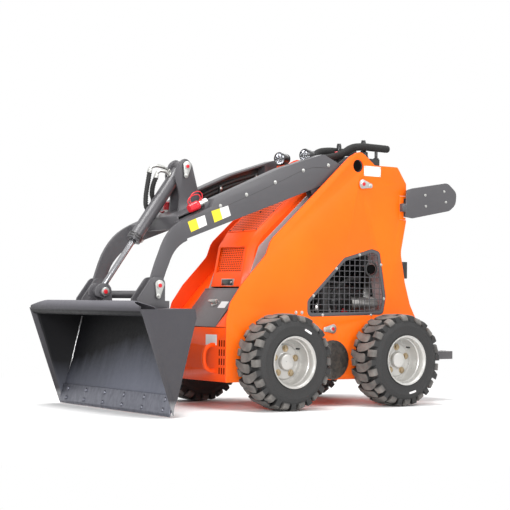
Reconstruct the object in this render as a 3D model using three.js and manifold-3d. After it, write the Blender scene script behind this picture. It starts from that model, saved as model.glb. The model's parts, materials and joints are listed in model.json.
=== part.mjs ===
// A stand-on skid steer loader: four driven wheels, a narrow body with two open arm slots,
// a twin-arm boom with its cylinders, and a bucket on an attach frame.
// Millimetres, +X forward, +Y to the machine's left, +Z up.
// Heights are above the ground; lengths along X start midway between the two axles.
import * as THREE from "three";
import { mergeVertices } from "three/addons/utils/BufferGeometryUtils.js";
import Module from "manifold-3d";

const wasm = await Module();
wasm.setup();

// ---- driving dimensions -------------------------------------------------------------------
const FIT = 0.3; // gap left where two separate pieces touch
const ROUND = 16; // sides of a small turned part
const CHORD_ERROR = 0.8; // how far the chords of a rounded corner may leave its arc

// wheels
const WHEELBASE = 763;
const TYRE_DIAMETER = 508;
const TYRE_WIDTH = 200;
const TREAD_WIDTH = 150;
const RIM_DIAMETER = 254;
const RIM_FLANGE = 9;
const RIM_SHEET = 5;
const WHEEL_CLEARANCE = 27; // tyre to side panel
const AXLE_RADIUS = 42;

// body
const BODY_WIDTH = 580;
const PANEL_SHEET = 8;
const SLOT_WIDTH = 102; // between outer side panel and inner tower plate
const GROUND_CLEARANCE = 145;
const BODY_FRONT = 662;
const BODY_REAR = -646;
const TOWER_TOP = 1397;
const DECK_TOP = 1335; // panel top behind the tower
const FRONT_PLATE_TOP = 428;
const THIN_SHEET = 5;
const HOOD_PROUD = 31; // hood face above the side panels' sloping front edge
const HOOD_CHAMFER = 32;
const CONSOLE_HEIGHT = 48; // console standing on the hood's flat top
const CONSOLE_WIDTH = 328;
const GRIP_RADIUS = 20; // foam of the hand bar
const LEVER_X = -392;
const LEVER_Y = 112; // either lever from the middle
const LEVER_TOP = 1496;
const BOOT_RADIUS = 26;

// boom
const ARM_WIDTH = 75;
const ARM_WALL = 10;
const NECK_SHEET = 23; // thickness of the gooseneck plate at the arm's front end
const NECK_FLARE = 38; // how far the gooseneck steps outwards on its way down
const BOOM_PIVOT = { x: -242, z: 1225 };
const BUCKET_PIVOT = { x: 1094, z: 641 };
const BOOM_PIN_RADIUS = 19;
const BUCKET_PIN_RADIUS = 16;
const PIN_PLAY = 1; // bore radius over pin radius
const SIDE_PLAY = 5.5; // between an arm and the ears beside it

// lift cylinders, one in each slot
const LIFT_BASE = { x: -32, z: 422 };
const LIFT_LUG = { x: 40, z: 1160 };
const LIFT_BARREL_RADIUS = 32;
const LIFT_BARREL_LENGTH = 560; // base pin to barrel mouth
const LIFT_ROD_RADIUS = 16;
const LIFT_ROD_LENGTH = 495; // eye centre to piston end
const LIFT_EYE_RADIUS = 26;
const LIFT_EYE_WIDTH = 26;

// tilt cylinder, on the centre line
const TILT_TOP = { x: 769, z: 1277 };
const TILT_FOOT = { x: 1249, z: 609 };
const TILT_BARREL_RADIUS = 35;
const TILT_BARREL_LENGTH = 486;
const TILT_ROD_RADIUS = 15;
const TILT_ROD_LENGTH = 415;
const TILT_EYE_RADIUS = 29;
const TILT_EYE_WIDTH = 74;
const TILT_ROD_EYE_WIDTH = 50;
const BRACKET_SHEET = 12;
const ROD_PLAY = 1.5; // bore radius over rod radius

// bucket, tipped forward: its back sheet lies on top and its floor hangs behind the mouth
const BUCKET_WIDTH = 1185;
const BUCKET_SHEET = 6;
const BUCKET_SIDE = 8;
const BUCKET_FLARE = 12; // how far the front strip of each side leans outwards
const BUCKET_LIP = { x: 1352, z: 523 };
const BUCKET_BACK = { x: 1040, z: 528 };
const BUCKET_CORNER = { x: 1032, z: 484 };
const BUCKET_HEEL = { x: 1136, z: 90 };
const BUCKET_TIP = { x: 1164, z: 4 };
const ROLL_RADIUS = 38; // of the rolled edge that stiffens the lip
const ROLL_TAPER = 142; // length over which each end of the roll is cut down
const EDGE_THICKNESS = 10;
const EDGE_LENGTH = 105;

// ---- places worked out from the dimensions -------------------------------------------------
const axleZ = TYRE_DIAMETER / 2;
const panelOuter = BODY_WIDTH / 2;
const panelInner = panelOuter - PANEL_SHEET;
const slotInner = panelInner - SLOT_WIDTH;
const towerInner = slotInner - PANEL_SHEET;
const armOuter = panelInner - (SLOT_WIDTH - ARM_WIDTH) / 2;
const armInner = armOuter - ARM_WIDTH;
const slotMiddle = (armOuter + armInner) / 2;
const bossOuter = armOuter + NECK_FLARE;
const bossInner = bossOuter - 38;
const wheelY = panelOuter + WHEEL_CLEARANCE + TYRE_WIDTH / 2;
const bellyTop = GROUND_CLEARANCE + PANEL_SHEET;

// ---- colours -------------------------------------------------------------------------------
const ORANGE = { color: 0xff7818, roughness: 0.4, metalness: 0.0 };
const GREY = { color: 0x5a595c, roughness: 0.45, metalness: 0.1 };
const BLACK = { color: 0x17171a, roughness: 0.6, metalness: 0.0 };
const RUBBER = { color: 0x232222, roughness: 0.85, metalness: 0.0 };
const SILVER = { color: 0xb9babb, roughness: 0.35, metalness: 0.8 };
const CHROME = { color: 0xd8dadc, roughness: 0.12, metalness: 1.0 };
const CASTING = { color: 0x3a3a3c, roughness: 0.7, metalness: 0.3 };

// ---- solids: joining and cutting -----------------------------------------------------------
function toSolid(geometry) {
  const bare = geometry.clone();
  bare.deleteAttribute("normal");
  bare.deleteAttribute("uv");
  const merged = mergeVertices(bare, 1e-3);
  return new wasm.Manifold(
    new wasm.Mesh({
      numProp: 3,
      vertProperties: merged.attributes.position.array,
      triVerts: new Uint32Array(merged.index.array),
    }),
  );
}

function toGeometry(solid) {
  const mesh = solid.getMesh();
  const geometry = new THREE.BufferGeometry();
  const points = new Float32Array(mesh.numVert * 3);
  for (let i = 0; i < mesh.numVert; i += 1) {
    for (let k = 0; k < 3; k += 1) {
      points[3 * i + k] = mesh.vertProperties[i * mesh.numProp + k];
    }
  }
  geometry.setAttribute("position", new THREE.BufferAttribute(points, 3));
  geometry.setIndex(Array.from(mesh.triVerts));
  return geometry;
}

function join(...pieces) {
  const solids = pieces.map(toSolid);
  return toGeometry(solids.reduce((whole, next) => whole.add(next)));
}

function cut(body, ...tools) {
  const solids = tools.map(toSolid);
  return toGeometry(solids.reduce((whole, next) => whole.subtract(next), toSolid(body)));
}

// ---- basic shapes --------------------------------------------------------------------------
// A closed outline in the XZ plane. Each corner is [x, z] or [x, z, radius].
function outline(corners) {
  const shape = new THREE.Shape();
  const count = corners.length;
  corners.forEach((corner, i) => {
    const here = new THREE.Vector2(corner[0], corner[1]);
    const before = new THREE.Vector2(...corners[(i + count - 1) % count].slice(0, 2));
    const after = new THREE.Vector2(...corners[(i + 1) % count].slice(0, 2));
    const radius = corner[2] ?? 0;
    const back = before.sub(here).normalize();
    const ahead = after.sub(here).normalize();
    const half = Math.acos(THREE.MathUtils.clamp(back.dot(ahead), -1, 1)) / 2;
    const reach = radius / Math.tan(half);
    const start = here.clone().addScaledVector(back, reach);
    const end = here.clone().addScaledVector(ahead, reach);
    if (i === 0) shape.moveTo(start.x, start.y);
    else shape.lineTo(start.x, start.y);
    if (radius > 0) roundCorner(shape, here, start, end, back, ahead, radius, half);
  });
  shape.closePath();
  return shape;
}

// Adds the arc of one rounded corner as a few short chords.
function roundCorner(shape, corner, start, end, back, ahead, radius, half) {
  const middle = back.clone().add(ahead).normalize();
  const centre = corner.clone().addScaledVector(middle, radius / Math.sin(half));
  const from = Math.atan2(start.y - centre.y, start.x - centre.x);
  let sweep = Math.atan2(end.y - centre.y, end.x - centre.x) - from;
  if (sweep > Math.PI) sweep -= 2 * Math.PI;
  if (sweep < -Math.PI) sweep += 2 * Math.PI;
  const stride = 2 * Math.acos(1 - Math.min(0.9, CHORD_ERROR / radius));
  const steps = Math.max(1, Math.round(Math.abs(sweep) / stride));
  for (let k = 1; k <= steps; k += 1) {
    const angle = from + (sweep * k) / steps;
    shape.lineTo(centre.x + radius * Math.cos(angle), centre.y + radius * Math.sin(angle));
  }
}

// A plate whose outline lies in XZ, between two places along Y.
function plate(shape, y0, y1) {
  const low = Math.min(y0, y1);
  const high = Math.max(y0, y1);
  const flat = new THREE.ExtrudeGeometry(shape, { depth: high - low, bevelEnabled: false });
  return flat.rotateX(Math.PI / 2).translate(0, high, 0);
}

function box(x0, x1, y0, y1, z0, z1) {
  const solid = new THREE.BoxGeometry(x1 - x0, Math.abs(y1 - y0), z1 - z0);
  return solid.translate((x0 + x1) / 2, (y0 + y1) / 2, (z0 + z1) / 2);
}

// A round bar along Y.
function barY(x, z, radius, y0, y1, sides = ROUND) {
  const bar = new THREE.CylinderGeometry(radius, radius, Math.abs(y1 - y0), sides);
  return bar.translate(0, (y0 + y1) / 2, 0).applyMatrix4(new THREE.Matrix4().makeTranslation(x, 0, z));
}

// A round bar or tube between two points; bore 0 makes it solid.
function barBetween(a, b, radius, sides = ROUND) {
  const from = new THREE.Vector3(a[0], a[1], a[2]);
  const along = new THREE.Vector3(b[0], b[1], b[2]).sub(from);
  const bar = new THREE.CylinderGeometry(radius, radius, along.length(), sides);
  bar.translate(0, along.length() / 2, 0);
  const turn = new THREE.Quaternion().setFromUnitVectors(
    new THREE.Vector3(0, 1, 0),
    along.clone().normalize(),
  );
  return bar.applyQuaternion(turn).translate(from.x, from.y, from.z);
}

// A bent sheet: a line of points in XZ, thickened to its right as the line runs, along Y.
function bentSheet(points, thickness, y0, y1) {
  const line = points.map(([x, z]) => new THREE.Vector2(x, z));
  const inner = line.map((here, i) => {
    const before = i > 0 ? here.clone().sub(line[i - 1]).normalize() : null;
    const after = i < line.length - 1 ? line[i + 1].clone().sub(here).normalize() : null;
    const first = before ?? after;
    const second = after ?? before;
    const normal = new THREE.Vector2(first.y + second.y, -first.x - second.x).normalize();
    const stretch = normal.dot(new THREE.Vector2(first.y, -first.x));
    return here.clone().addScaledVector(normal, thickness / stretch);
  });
  const ring = [...line, ...inner.reverse()].map((p) => [p.x, p.y]);
  return plate(outline(ring), y0, y1);
}

// A flat many-sided face in space, thickened by a shift along Y.
function slab(face, shift) {
  const flat = face.map(([x, , z]) => new THREE.Vector2(x, z));
  const clockwise = THREE.ShapeUtils.isClockWise(flat);
  const ring = clockwise ? [...face].reverse() : face;
  const plan = ring.map(([x, , z]) => new THREE.Vector2(x, z));
  const triangles = THREE.ShapeUtils.triangulateShape(plan, []);
  const count = ring.length;
  const low = Math.min(0, shift);
  const high = Math.max(0, shift);
  const points = [...ring.map(([x, y, z]) => [x, y + low, z]), ...ring.map(([x, y, z]) => [x, y + high, z])];
  const index = [];
  for (const [a, b, c] of triangles) {
    index.push(a, b, c);
    index.push(a + count, c + count, b + count);
  }
  for (let i = 0; i < count; i += 1) {
    const j = (i + 1) % count;
    index.push(i, j + count, j);
    index.push(i, i + count, j + count);
  }
  const geometry = new THREE.BufferGeometry();
  geometry.setAttribute("position", new THREE.Float32BufferAttribute(points.flat(), 3));
  geometry.setIndex(index);
  return geometry;
}

// A skin over matching closed outlines: each section is a list of [x, z] at its own y.
function loft(sections) {
  const count = sections[0].outline.length;
  const points = sections.flatMap(({ y, outline: ring }) => ring.map(([x, z]) => [x, y, z]));
  const plan = sections[0].outline.map(([x, z]) => new THREE.Vector2(x, z));
  const forward = !THREE.ShapeUtils.isClockWise(plan);
  const caps = THREE.ShapeUtils.triangulateShape(plan, []);
  const last = (sections.length - 1) * count;
  const index = [];
  const face = (a, b, c) => (forward ? index.push(a, b, c) : index.push(a, c, b));
  for (const [a, b, c] of caps) {
    index.push(a, b, c);
    index.push(a + last, c + last, b + last);
  }
  for (let s = 0; s < sections.length - 1; s += 1) {
    for (let i = 0; i < count; i += 1) {
      const j = (i + 1) % count;
      const low = s * count;
      const high = low + count;
      face(low + i, high + j, low + j);
      face(low + i, high + i, high + j);
    }
  }
  const geometry = new THREE.BufferGeometry();
  geometry.setAttribute("position", new THREE.Float32BufferAttribute(points.flat(), 3));
  geometry.setIndex(index);
  return geometry;
}

// A bar of four-cornered sections, each a list of [x, y, z] in the same order.
function boxChain(sections) {
  const index = [];
  const face = (a, b, c, d) => index.push(a, b, c, a, c, d);
  for (let s = 0; s < sections.length - 1; s += 1) {
    for (let i = 0; i < 4; i += 1) {
      const j = (i + 1) % 4;
      face(4 * s + i, 4 * s + j, 4 * s + 4 + j, 4 * s + 4 + i);
    }
  }
  const last = 4 * (sections.length - 1);
  face(3, 2, 1, 0);
  face(last, last + 1, last + 2, last + 3);
  const geometry = new THREE.BufferGeometry();
  geometry.setAttribute("position", new THREE.Float32BufferAttribute(sections.flat(2), 3));
  geometry.setIndex(index);
  return geometry;
}

// A round tube along a smooth line through points.
function tubeThrough(points, radius, steps, sides = 12) {
  const ring = new THREE.Shape();
  for (let i = 0; i < sides; i += 1) {
    const angle = (i * 2 * Math.PI) / sides;
    const x = radius * Math.cos(angle);
    const y = radius * Math.sin(angle);
    if (i === 0) ring.moveTo(x, y);
    else ring.lineTo(x, y);
  }
  ring.closePath();
  const curve = new THREE.CatmullRomCurve3(points.map((p) => new THREE.Vector3(...p)), false, "centripetal");
  return new THREE.ExtrudeGeometry(ring, { steps, extrudePath: curve, bevelEnabled: false });
}

// The same shape on the other side of the machine, still facing outwards.
function mirrored(geometry) {
  const copy = (geometry.index ? geometry.toNonIndexed() : geometry.clone()).scale(1, -1, 1);
  const p = copy.attributes.position;
  for (let i = 0; i < p.count; i += 3) {
    const spare = [p.getX(i + 1), p.getY(i + 1), p.getZ(i + 1)];
    p.setXYZ(i + 1, p.getX(i + 2), p.getY(i + 2), p.getZ(i + 2));
    p.setXYZ(i + 2, ...spare);
  }
  copy.deleteAttribute("normal");
  return copy;
}

const loader = new THREE.Group();

function add(name, geometry, finish, place = [0, 0, 0]) {
  const mesh = new THREE.Mesh(geometry, new THREE.MeshStandardMaterial(finish));
  mesh.name = name;
  mesh.position.set(...place);
  loader.add(mesh);
}

function addPair(name, geometry, finish) {
  add(name + "_left", geometry, finish);
  add(name + "_right", mirrored(geometry), finish);
}

// ---- wheels --------------------------------------------------------------------------------
// Profiles run outwards from the wheel's middle plane; the lathe axis is then laid along Y.
function turned(profile, sides) {
  return new THREE.LatheGeometry(profile.map(([r, y]) => new THREE.Vector2(r, y)), sides);
}

const TYRE_SIDES = 32; // a flat side, not a corner, rests on the ground
const bead = TYRE_WIDTH / 2 - 12;
const tyreRadius = TYRE_DIAMETER / 2;
const beadRadius = RIM_DIAMETER / 2;
const shoulder = TREAD_WIDTH / 2;

function tyreGeometry() {
  const half = [
    [beadRadius + FIT, bead],
    [beadRadius + RIM_FLANGE + 8, bead + 2],
    [(beadRadius + tyreRadius) / 2, TYRE_WIDTH / 2],
    [tyreRadius - 26, TYRE_WIDTH / 2 - 6],
    [tyreRadius, shoulder],
  ];
  const other = half.map(([r, y]) => [r, -y]).reverse();
  const ring = [...other, ...half];
  return turned([...ring, ring[0]].reverse(), TYRE_SIDES).rotateY(Math.PI / TYRE_SIDES);
}

const hubFace = 6; // the wheel disc's outer face, from the middle plane
const hubRadius = 58;

function rimGeometry() {
  const flange = beadRadius + RIM_FLANGE;
  const lip = bead + 9;
  const profile = [
    [0, hubFace - 12],
    [hubRadius, hubFace - 12],
    [beadRadius - 18, hubFace - 30],
    [beadRadius - RIM_SHEET, -lip],
    [flange, -lip],
    [flange, -bead - 2],
    [beadRadius, -bead - 2],
    [beadRadius - 6, 0],
    [beadRadius, bead + 2],
    [flange, bead + 2],
    [flange, lip],
    [beadRadius - RIM_SHEET, lip],
    [beadRadius - 18, hubFace - 16],
    [hubRadius, hubFace],
    [0, hubFace],
  ];
  return turned(profile, TYRE_SIDES).rotateY(Math.PI / TYRE_SIDES);
}

function addWheel(place, x, side) {
  const turn = side > 0 ? 0 : Math.PI;
  for (const [kind, geometry, finish] of [
    ["tyre", tyreGeometry(), RUBBER],
    ["rim", rimGeometry(), SILVER],
  ]) {
    geometry.rotateX(turn).translate(x, side * wheelY, axleZ);
    add(kind + "_" + place, geometry, finish);
  }
}

for (const [end, x] of [["front", WHEELBASE / 2], ["rear", -WHEELBASE / 2]]) {
  addWheel(end + "_left", x, 1);
  addWheel(end + "_right", x, -1);
}

// Each axle beam runs right across the body and carries one hub motor at either end.
function axleGeometry(x) {
  const hubInner = wheelY + hubFace - 12 - FIT;
  const beam = barY(x, axleZ, AXLE_RADIUS, -hubInner, hubInner);
  const flange = panelOuter + FIT;
  const collar = (side) => barY(x, axleZ, AXLE_RADIUS + 20, side * flange, side * (flange + 14));
  return join(beam, collar(1), collar(-1));
}

add("front_axle", axleGeometry(WHEELBASE / 2), CASTING);
add("rear_axle", axleGeometry(-WHEELBASE / 2), CASTING);

// ---- body panels ---------------------------------------------------------------------------
// The sloping front edge that both side panels share.
const slopeTop = { x: -80, z: 1311 };
const slopeFoot = { x: 382, z: 894 };
const slope = new THREE.Vector2(slopeFoot.x - slopeTop.x, slopeFoot.z - slopeTop.z).normalize();
const outward = new THREE.Vector2(-slope.y, slope.x); // away from the body, up and forward

// A point beside the sloping edge: along it from its top, and above it.
function bySlope(along, above) {
  return [
    slopeTop.x + slope.x * along + outward.x * above,
    slopeTop.z + slope.y * along + outward.y * above,
  ];
}

const panelCorners = [
  [BODY_FRONT, GROUND_CLEARANCE, 6],
  [BODY_FRONT, 476, 30],
  [638, 559, 40],
  [567, 656, 60],
  [458, 767, 60],
  [412, 816, 40],
  [slopeFoot.x, slopeFoot.z, 60],
  [-150, 1374.2, 60],
  [-227, TOWER_TOP + 16, 60],
  [-330, DECK_TOP, 14],
  [-497, DECK_TOP, 8],
  [-562, 1243, 10],
  [-563, 1175],
  [-510, 1175, 6],
  [-510, 1038, 6],
  [-563, 1038],
  [-563, 1028, 10],
  [-525, 850, 60],
  [-557, 682, 60],
  [-597, 556, 60],
  [BODY_REAR, 470, 40],
  [BODY_REAR, GROUND_CLEARANCE, 20],
];

// The mesh-covered window in each side, in front of the engine.
const windowCorners = [
  [136, 487, 30],
  [136, 575, 30],
  [-62, 761, 20],
  [-115, 812, 25],
  [-313, 867, 20],
  [-372, 853, 25],
  [-418, 600, 25],
  [-400, 500, 30],
];

function panelHoles() {
  const deep = [panelInner - 5, panelOuter + 5];
  return [
    plate(outline(windowCorners), ...deep),
    barY(-210, 1325, 36, ...deep),
    barY(BOOM_PIVOT.x, BOOM_PIVOT.z, BOOM_PIN_RADIUS + FIT, ...deep),
    barY(LIFT_BASE.x, LIFT_BASE.z, BOOM_PIN_RADIUS + FIT, ...deep),
    barY(WHEELBASE / 2, axleZ, AXLE_RADIUS + FIT, ...deep),
    barY(-WHEELBASE / 2, axleZ, AXLE_RADIUS + FIT, ...deep),
  ];
}

addPair("side_panel", cut(plate(outline(panelCorners), panelInner, panelOuter), ...panelHoles()), ORANGE);

// Inner tower plates: they close the engine bay and carry the boom and lift pins.
const platePlay = PIN_PLAY;
const innerCorners = [
  [495, bellyTop + FIT],
  [495, 560, 10],
  [...bySlope(640, -24), 20],
  [...bySlope(-60, -24), 40],
  [-215, TOWER_TOP - 10, 40],
  [-335, TOWER_TOP - 12, 24],
  [-368, DECK_TOP - 12, 12],
  [-492, DECK_TOP - 12, 8],
  [-540, 1240, 10],
  [-505, 850, 30],
  [-575, 556, 30],
  [-600, 470, 20],
  [-600, bellyTop + FIT],
];

function innerPlate() {
  const sheet = plate(outline(innerCorners), towerInner, slotInner);
  const deep = [towerInner - 5, slotInner + 5];
  const open = cut(
    sheet,
    plate(outline(windowCorners.map(([x, z, r]) => [x, z, r])), ...deep),
    barY(WHEELBASE / 2, axleZ, AXLE_RADIUS + FIT, ...deep),
    barY(-WHEELBASE / 2, axleZ, AXLE_RADIUS + FIT, ...deep),
  );
  const pin = (at) => barY(at.x, at.z, BOOM_PIN_RADIUS, towerInner, panelOuter + 4);
  const boss = (at) => barY(at.x, at.z, BOOM_PIN_RADIUS + 16, towerInner, armInner - SIDE_PLAY);
  return join(open, pin(BOOM_PIVOT), boss(BOOM_PIVOT), pin(LIFT_BASE), boss(LIFT_BASE));
}

addPair("inner_plate", innerPlate(), GREY);

// Belly pan with two stiffening channels.
function bellyGeometry() {
  const half = panelInner - FIT;
  const floor = box(BODY_REAR + 10, BODY_FRONT - 12, -half, half, GROUND_CLEARANCE, bellyTop);
  const rib = (x) => box(x - 30, x + 30, -towerInner + FIT, towerInner - FIT, bellyTop - 1, bellyTop + 26);
  return join(floor, rib(120), rib(-120));
}

add("belly_pan", bellyGeometry(), ORANGE);

// Front plate between the side panels, with louvres and two tie-down loops.
const plateBack = BODY_FRONT - 11;

function frontPlateGeometry() {
  const half = panelInner - FIT;
  const low = bellyTop + FIT;
  const sheet = box(plateBack, plateBack + 6, -half, half, low, FRONT_PLATE_TOP);
  const louvres = [];
  for (let row = 0; row < 4; row += 1) {
    for (let column = 0; column < 3; column += 1) {
      const y = 221 + column * 22;
      const z = 203 + row * 48;
      louvres.push(box(plateBack - 5, plateBack + 15, y - 3, y + 3, z - 17, z + 17));
    }
  }
  const front = plateBack + 3;
  const loop = (y) =>
    tubeThrough(
      [
        [front, y, 337],
        [front + 30, y, 335],
        [front + 60, y, 312],
        [front + 68, y, 269],
        [front + 60, y, 226],
        [front + 30, y, 203],
        [front, y, 201],
      ],
      12,
      10,
      8,
    );
  return join(cut(sheet, ...louvres), loop(172), loop(-172));
}

add("front_plate", frontPlateGeometry(), ORANGE);

// The floor of each arm slot, under the lowered arm.
const slotFloor = [
  [plateBack + 5, FRONT_PLATE_TOP + THIN_SHEET],
  [484, 624],
  [400, 708],
  [130, 957],
  [130, 800],
];
addPair(
  "slot_floor",
  bentSheet(slotFloor.toReversed(), THIN_SHEET, slotInner + FIT, panelInner - FIT),
  ORANGE,
);

// ---- hood ----------------------------------------------------------------------------------
// Side view of the hood's outer face, from the foot of the nose up over to the dash.
const hoodTop = DECK_TOP + 5;
const hoodLine = [
  [478, 640],
  [455, 735],
  [428, 868],
  bySlope(586, HOOD_PROUD),
  bySlope(200, HOOD_PROUD),
  [52, 1290],
  [36, hoodTop],
  [-150, hoodTop],
];
const hoodBack = [
  [-150, 1240],
  [340, 780],
  [385, 640],
];

function insetLine(depth) {
  const middle = new THREE.Vector2(120, 1000);
  return hoodLine.map(([x, z], i) => {
    if (i === 0) return [x - depth, z];
    if (i === hoodLine.length - 1) return [x, z - depth];
    const before = new THREE.Vector2(...hoodLine[i - 1]).sub(new THREE.Vector2(x, z)).normalize();
    const after = new THREE.Vector2(...hoodLine[i + 1]).sub(new THREE.Vector2(x, z)).normalize();
    const normal = new THREE.Vector2(-(after.y - before.y), after.x - before.x).normalize();
    if (normal.dot(middle.clone().sub(new THREE.Vector2(x, z))) < 0) normal.negate();
    const stretch = Math.abs(normal.dot(new THREE.Vector2(-after.y, after.x)));
    return [x + (normal.x * depth) / stretch, z + (normal.y * depth) / stretch];
  });
}

function hoodSolid(depth, side, chamfer) {
  const full = [...insetLine(depth), ...hoodBack];
  const small = [...insetLine(depth + chamfer), ...hoodBack];
  return loft([
    { y: -side, outline: small },
    { y: -side + chamfer, outline: full },
    { y: side - chamfer, outline: full },
    { y: side, outline: small },
  ]);
}

const grille = { bottom: 724, top: 862, half: 118 };

function hoodGeometry() {
  const side = towerInner - FIT;
  const outer = hoodSolid(0, side, HOOD_CHAMFER);
  const hollow = hoodSolid(THIN_SHEET, side - THIN_SHEET, HOOD_CHAMFER - 3);
  const below = plate(outline([[400, 500], [600, 500], [600, 646], [400, 646]]), -side - 5, side + 5);
  const open = plate(outline([[-160, 1200], [330, 760], [372, 600], [474, 600], [474, 650],
    [300, 900], [-140, 1320], [-160, 1320]]), -side + THIN_SHEET + 6, side - THIN_SHEET - 6);
  const face = box(400, 500, -grille.half, grille.half, grille.bottom, grille.top);
  return cut(outer, hollow, below, open, face);
}

add("hood", hoodGeometry(), ORANGE);

// The perforated grille closes the opening in the nose, a little behind its face.
const grilleFoot = [450, grille.bottom + FIT];
const grilleHead = [420, grille.top - FIT];
add(
  "nose_grille",
  bentSheet([grilleFoot, grilleHead], 3, -grille.half + FIT, grille.half - FIT),
  ORANGE,
);

// Hinged lid between hood and front plate, opening upwards about its top edge.
const lidHinge = { x: 488, z: 634 };
const lidFoot = { x: 657, z: 433 };

function lidGeometry() {
  const half = slotInner - 6;
  const leaf = bentSheet(
    [
      [lidHinge.x + 4, lidHinge.z - 2],
      [lidFoot.x, lidFoot.z],
    ],
    THIN_SHEET,
    -half,
    half,
  );
  const barrel = barY(lidHinge.x, lidHinge.z - 4, 7, -half, half, 12);
  return join(leaf, barrel);
}

add("front_lid", lidGeometry(), GREY);

// ---- operator's end ------------------------------------------------------------------------
// Dash between the towers: sloping back wall, flat top, a console and two levers in boots.
const consoleTop = hoodTop + CONSOLE_HEIGHT;

function dashGeometry() {
  const half = towerInner - FIT;
  const shell = bentSheet(
    [
      [-590, bellyTop + FIT],
      [-590, 470],
      [-560, 560],
      [-498, 850],
      [-530, 1235],
      [-470, hoodTop - 4],
      [-152, hoodTop],
    ],
    THIN_SHEET,
    -half,
    half,
  );
  const podium = box(-470, -246, -CONSOLE_WIDTH / 2, CONSOLE_WIDTH / 2, hoodTop - 3, consoleTop);
  const at = (side, z) => [LEVER_X, side * LEVER_Y, z];
  const lever = (side) =>
    join(
      barBetween(at(side, consoleTop - 3), at(side, consoleTop + 40), BOOT_RADIUS, 16),
      barBetween(at(side, consoleTop + 36), at(side, LEVER_TOP - 46), 6, 12),
      barBetween(at(side, LEVER_TOP - 50), at(side, LEVER_TOP), 12, 16),
    );
  return join(shell, podium, lever(1), lever(-1));
}

add("dash_and_levers", dashGeometry(), BLACK);

// Foam-covered hand bar: across the front of the dash and back along either side.
const gripY = 150;
const handBar = [
  [-528, gripY, 1452],
  [-440, gripY, 1453],
  [-330, gripY, 1451],
  [-268, gripY, 1437],
  [-228, gripY - 14, 1410],
  [-210, gripY - 46, 1395],
  [-206, gripY - 100, 1391],
];
const handBarAcross = [...handBar, ...handBar.toReversed().map(([x, y, z]) => [x, -y, z])];

function handBarGeometry() {
  const bar = tubeThrough(handBarAcross, GRIP_RADIUS, 30, 10);
  const leg = (side) => barBetween([-198, side * 60, 1390], [-198, side * 60, hoodTop + FIT], 9, 12);
  const stay = (side) =>
    barBetween([-455, side * gripY, 1440], [-455, side * gripY, consoleTop + FIT], 9, 12);
  return join(bar, leg(1), leg(-1), stay(1), stay(-1));
}

add("hand_bar", handBarGeometry(), BLACK);

// Two round work lights on one bar over the hood.
function workLightsGeometry() {
  const lamp = (y) =>
    join(
      barBetween([0, y, hoodTop + 41], [52, y, hoodTop + 39], 37, 20),
      barBetween([-26, y, hoodTop + 42], [2, y, hoodTop + 41], 25, 20),
    );
  const bar = box(2, 22, -150, 150, hoodTop + FIT, hoodTop + 8);
  return join(bar, lamp(120), lamp(-120));
}

add("work_lights", workLightsGeometry(), BLACK);

// Fold-out operator platform behind the rear wheels.
function platformGeometry() {
  const half = 248;
  const deck = box(-967, BODY_REAR - 6, -half, half, 281, 289);
  const skirt = (y) => box(-967, BODY_REAR - 6, y - 4, y + 4, 243, 282);
  const end = box(-967, -959, -half, half, 243, 282);
  return join(deck, skirt(half - 4), skirt(4 - half), end);
}

add("operator_platform", platformGeometry(), GREY);

// Hip pads: flat plates on brackets let into the notch of each side panel.
const padY = 318;
const padCorners = [
  [-542, 1207, 8],
  [-585, 1219, 30],
  [-856, 1265, 45],
  [-927, 1211, 40],
  [-920, 1140, 50],
  [-873, 1103, 40],
  [-589, 1048, 20],
  [-536, 1054, 8],
];

function hipPadGeometry() {
  const leaf = plate(outline(padCorners), padY - 8, padY);
  const arm = box(-560, -516, slotInner + 40, padY - 4, 1085, 1130);
  const foot = box(-506 - 14, -506 - 6, slotInner + FIT, panelInner - FIT, 1050, 1165);
  return join(leaf, arm, foot);
}

addPair("hip_pad", hipPadGeometry(), GREY);

// ---- engine bay ----------------------------------------------------------------------------
function engineGeometry() {
  const block = box(-400, -10, -150, 150, axleZ + AXLE_RADIUS + 20, 640);
  const foot = (x, y) => box(x, x + 36, y - 20, y + 20, bellyTop + FIT, axleZ + AXLE_RADIUS + 30);
  const rearFoot = -WHEELBASE / 2 + AXLE_RADIUS + 30; // just ahead of the rear axle's collars
  return join(block, foot(rearFoot, 110), foot(rearFoot, -110), foot(-70, 110), foot(-70, -110));
}

add("engine_block", engineGeometry(), CASTING);

function mufflerGeometry() {
  const can = barBetween([-372, 232, 560], [-190, 232, 560], 42, 24);
  const pipe = tubeThrough(
    [
      [-314, 232, 590],
      [-314, 232, 680],
      [-314, 240, 740],
      [-314, 262, 755],
      [-314, 278, 755],
    ],
    24,
    8,
    12,
  );
  const strap = box(-300, -270, 150 + FIT, 232, 545, 575);
  return join(can, pipe, strap);
}

add("muffler", mufflerGeometry(), SILVER);

// Mesh guards fill the side windows.
function guardGeometry() {
  const frame = plate(outline(windowCorners.map(([x, z, r]) => inwards(x, z, r, 1))), panelInner + 1, panelOuter - 1);
  return cut(frame, barY(-314, 755, 36, panelInner - 5, panelOuter + 5));
}

// Moves a window corner a little towards the window's middle.
function inwards(x, z, radius, gap) {
  const middle = new THREE.Vector2(-160, 660);
  const step = middle.sub(new THREE.Vector2(x, z)).normalize();
  return [x + step.x * gap * 1.5, z + step.y * gap * 1.5, radius];
}

addPair("window_guard", guardGeometry(), BLACK);

// Bolted service covers low on the side panels, between the wheels.
function coverGeometry() {
  return barY(-40, 253, 108, panelOuter + FIT, panelOuter + 6, 24);
}

addPair("service_cover", coverGeometry(), BLACK);

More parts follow.
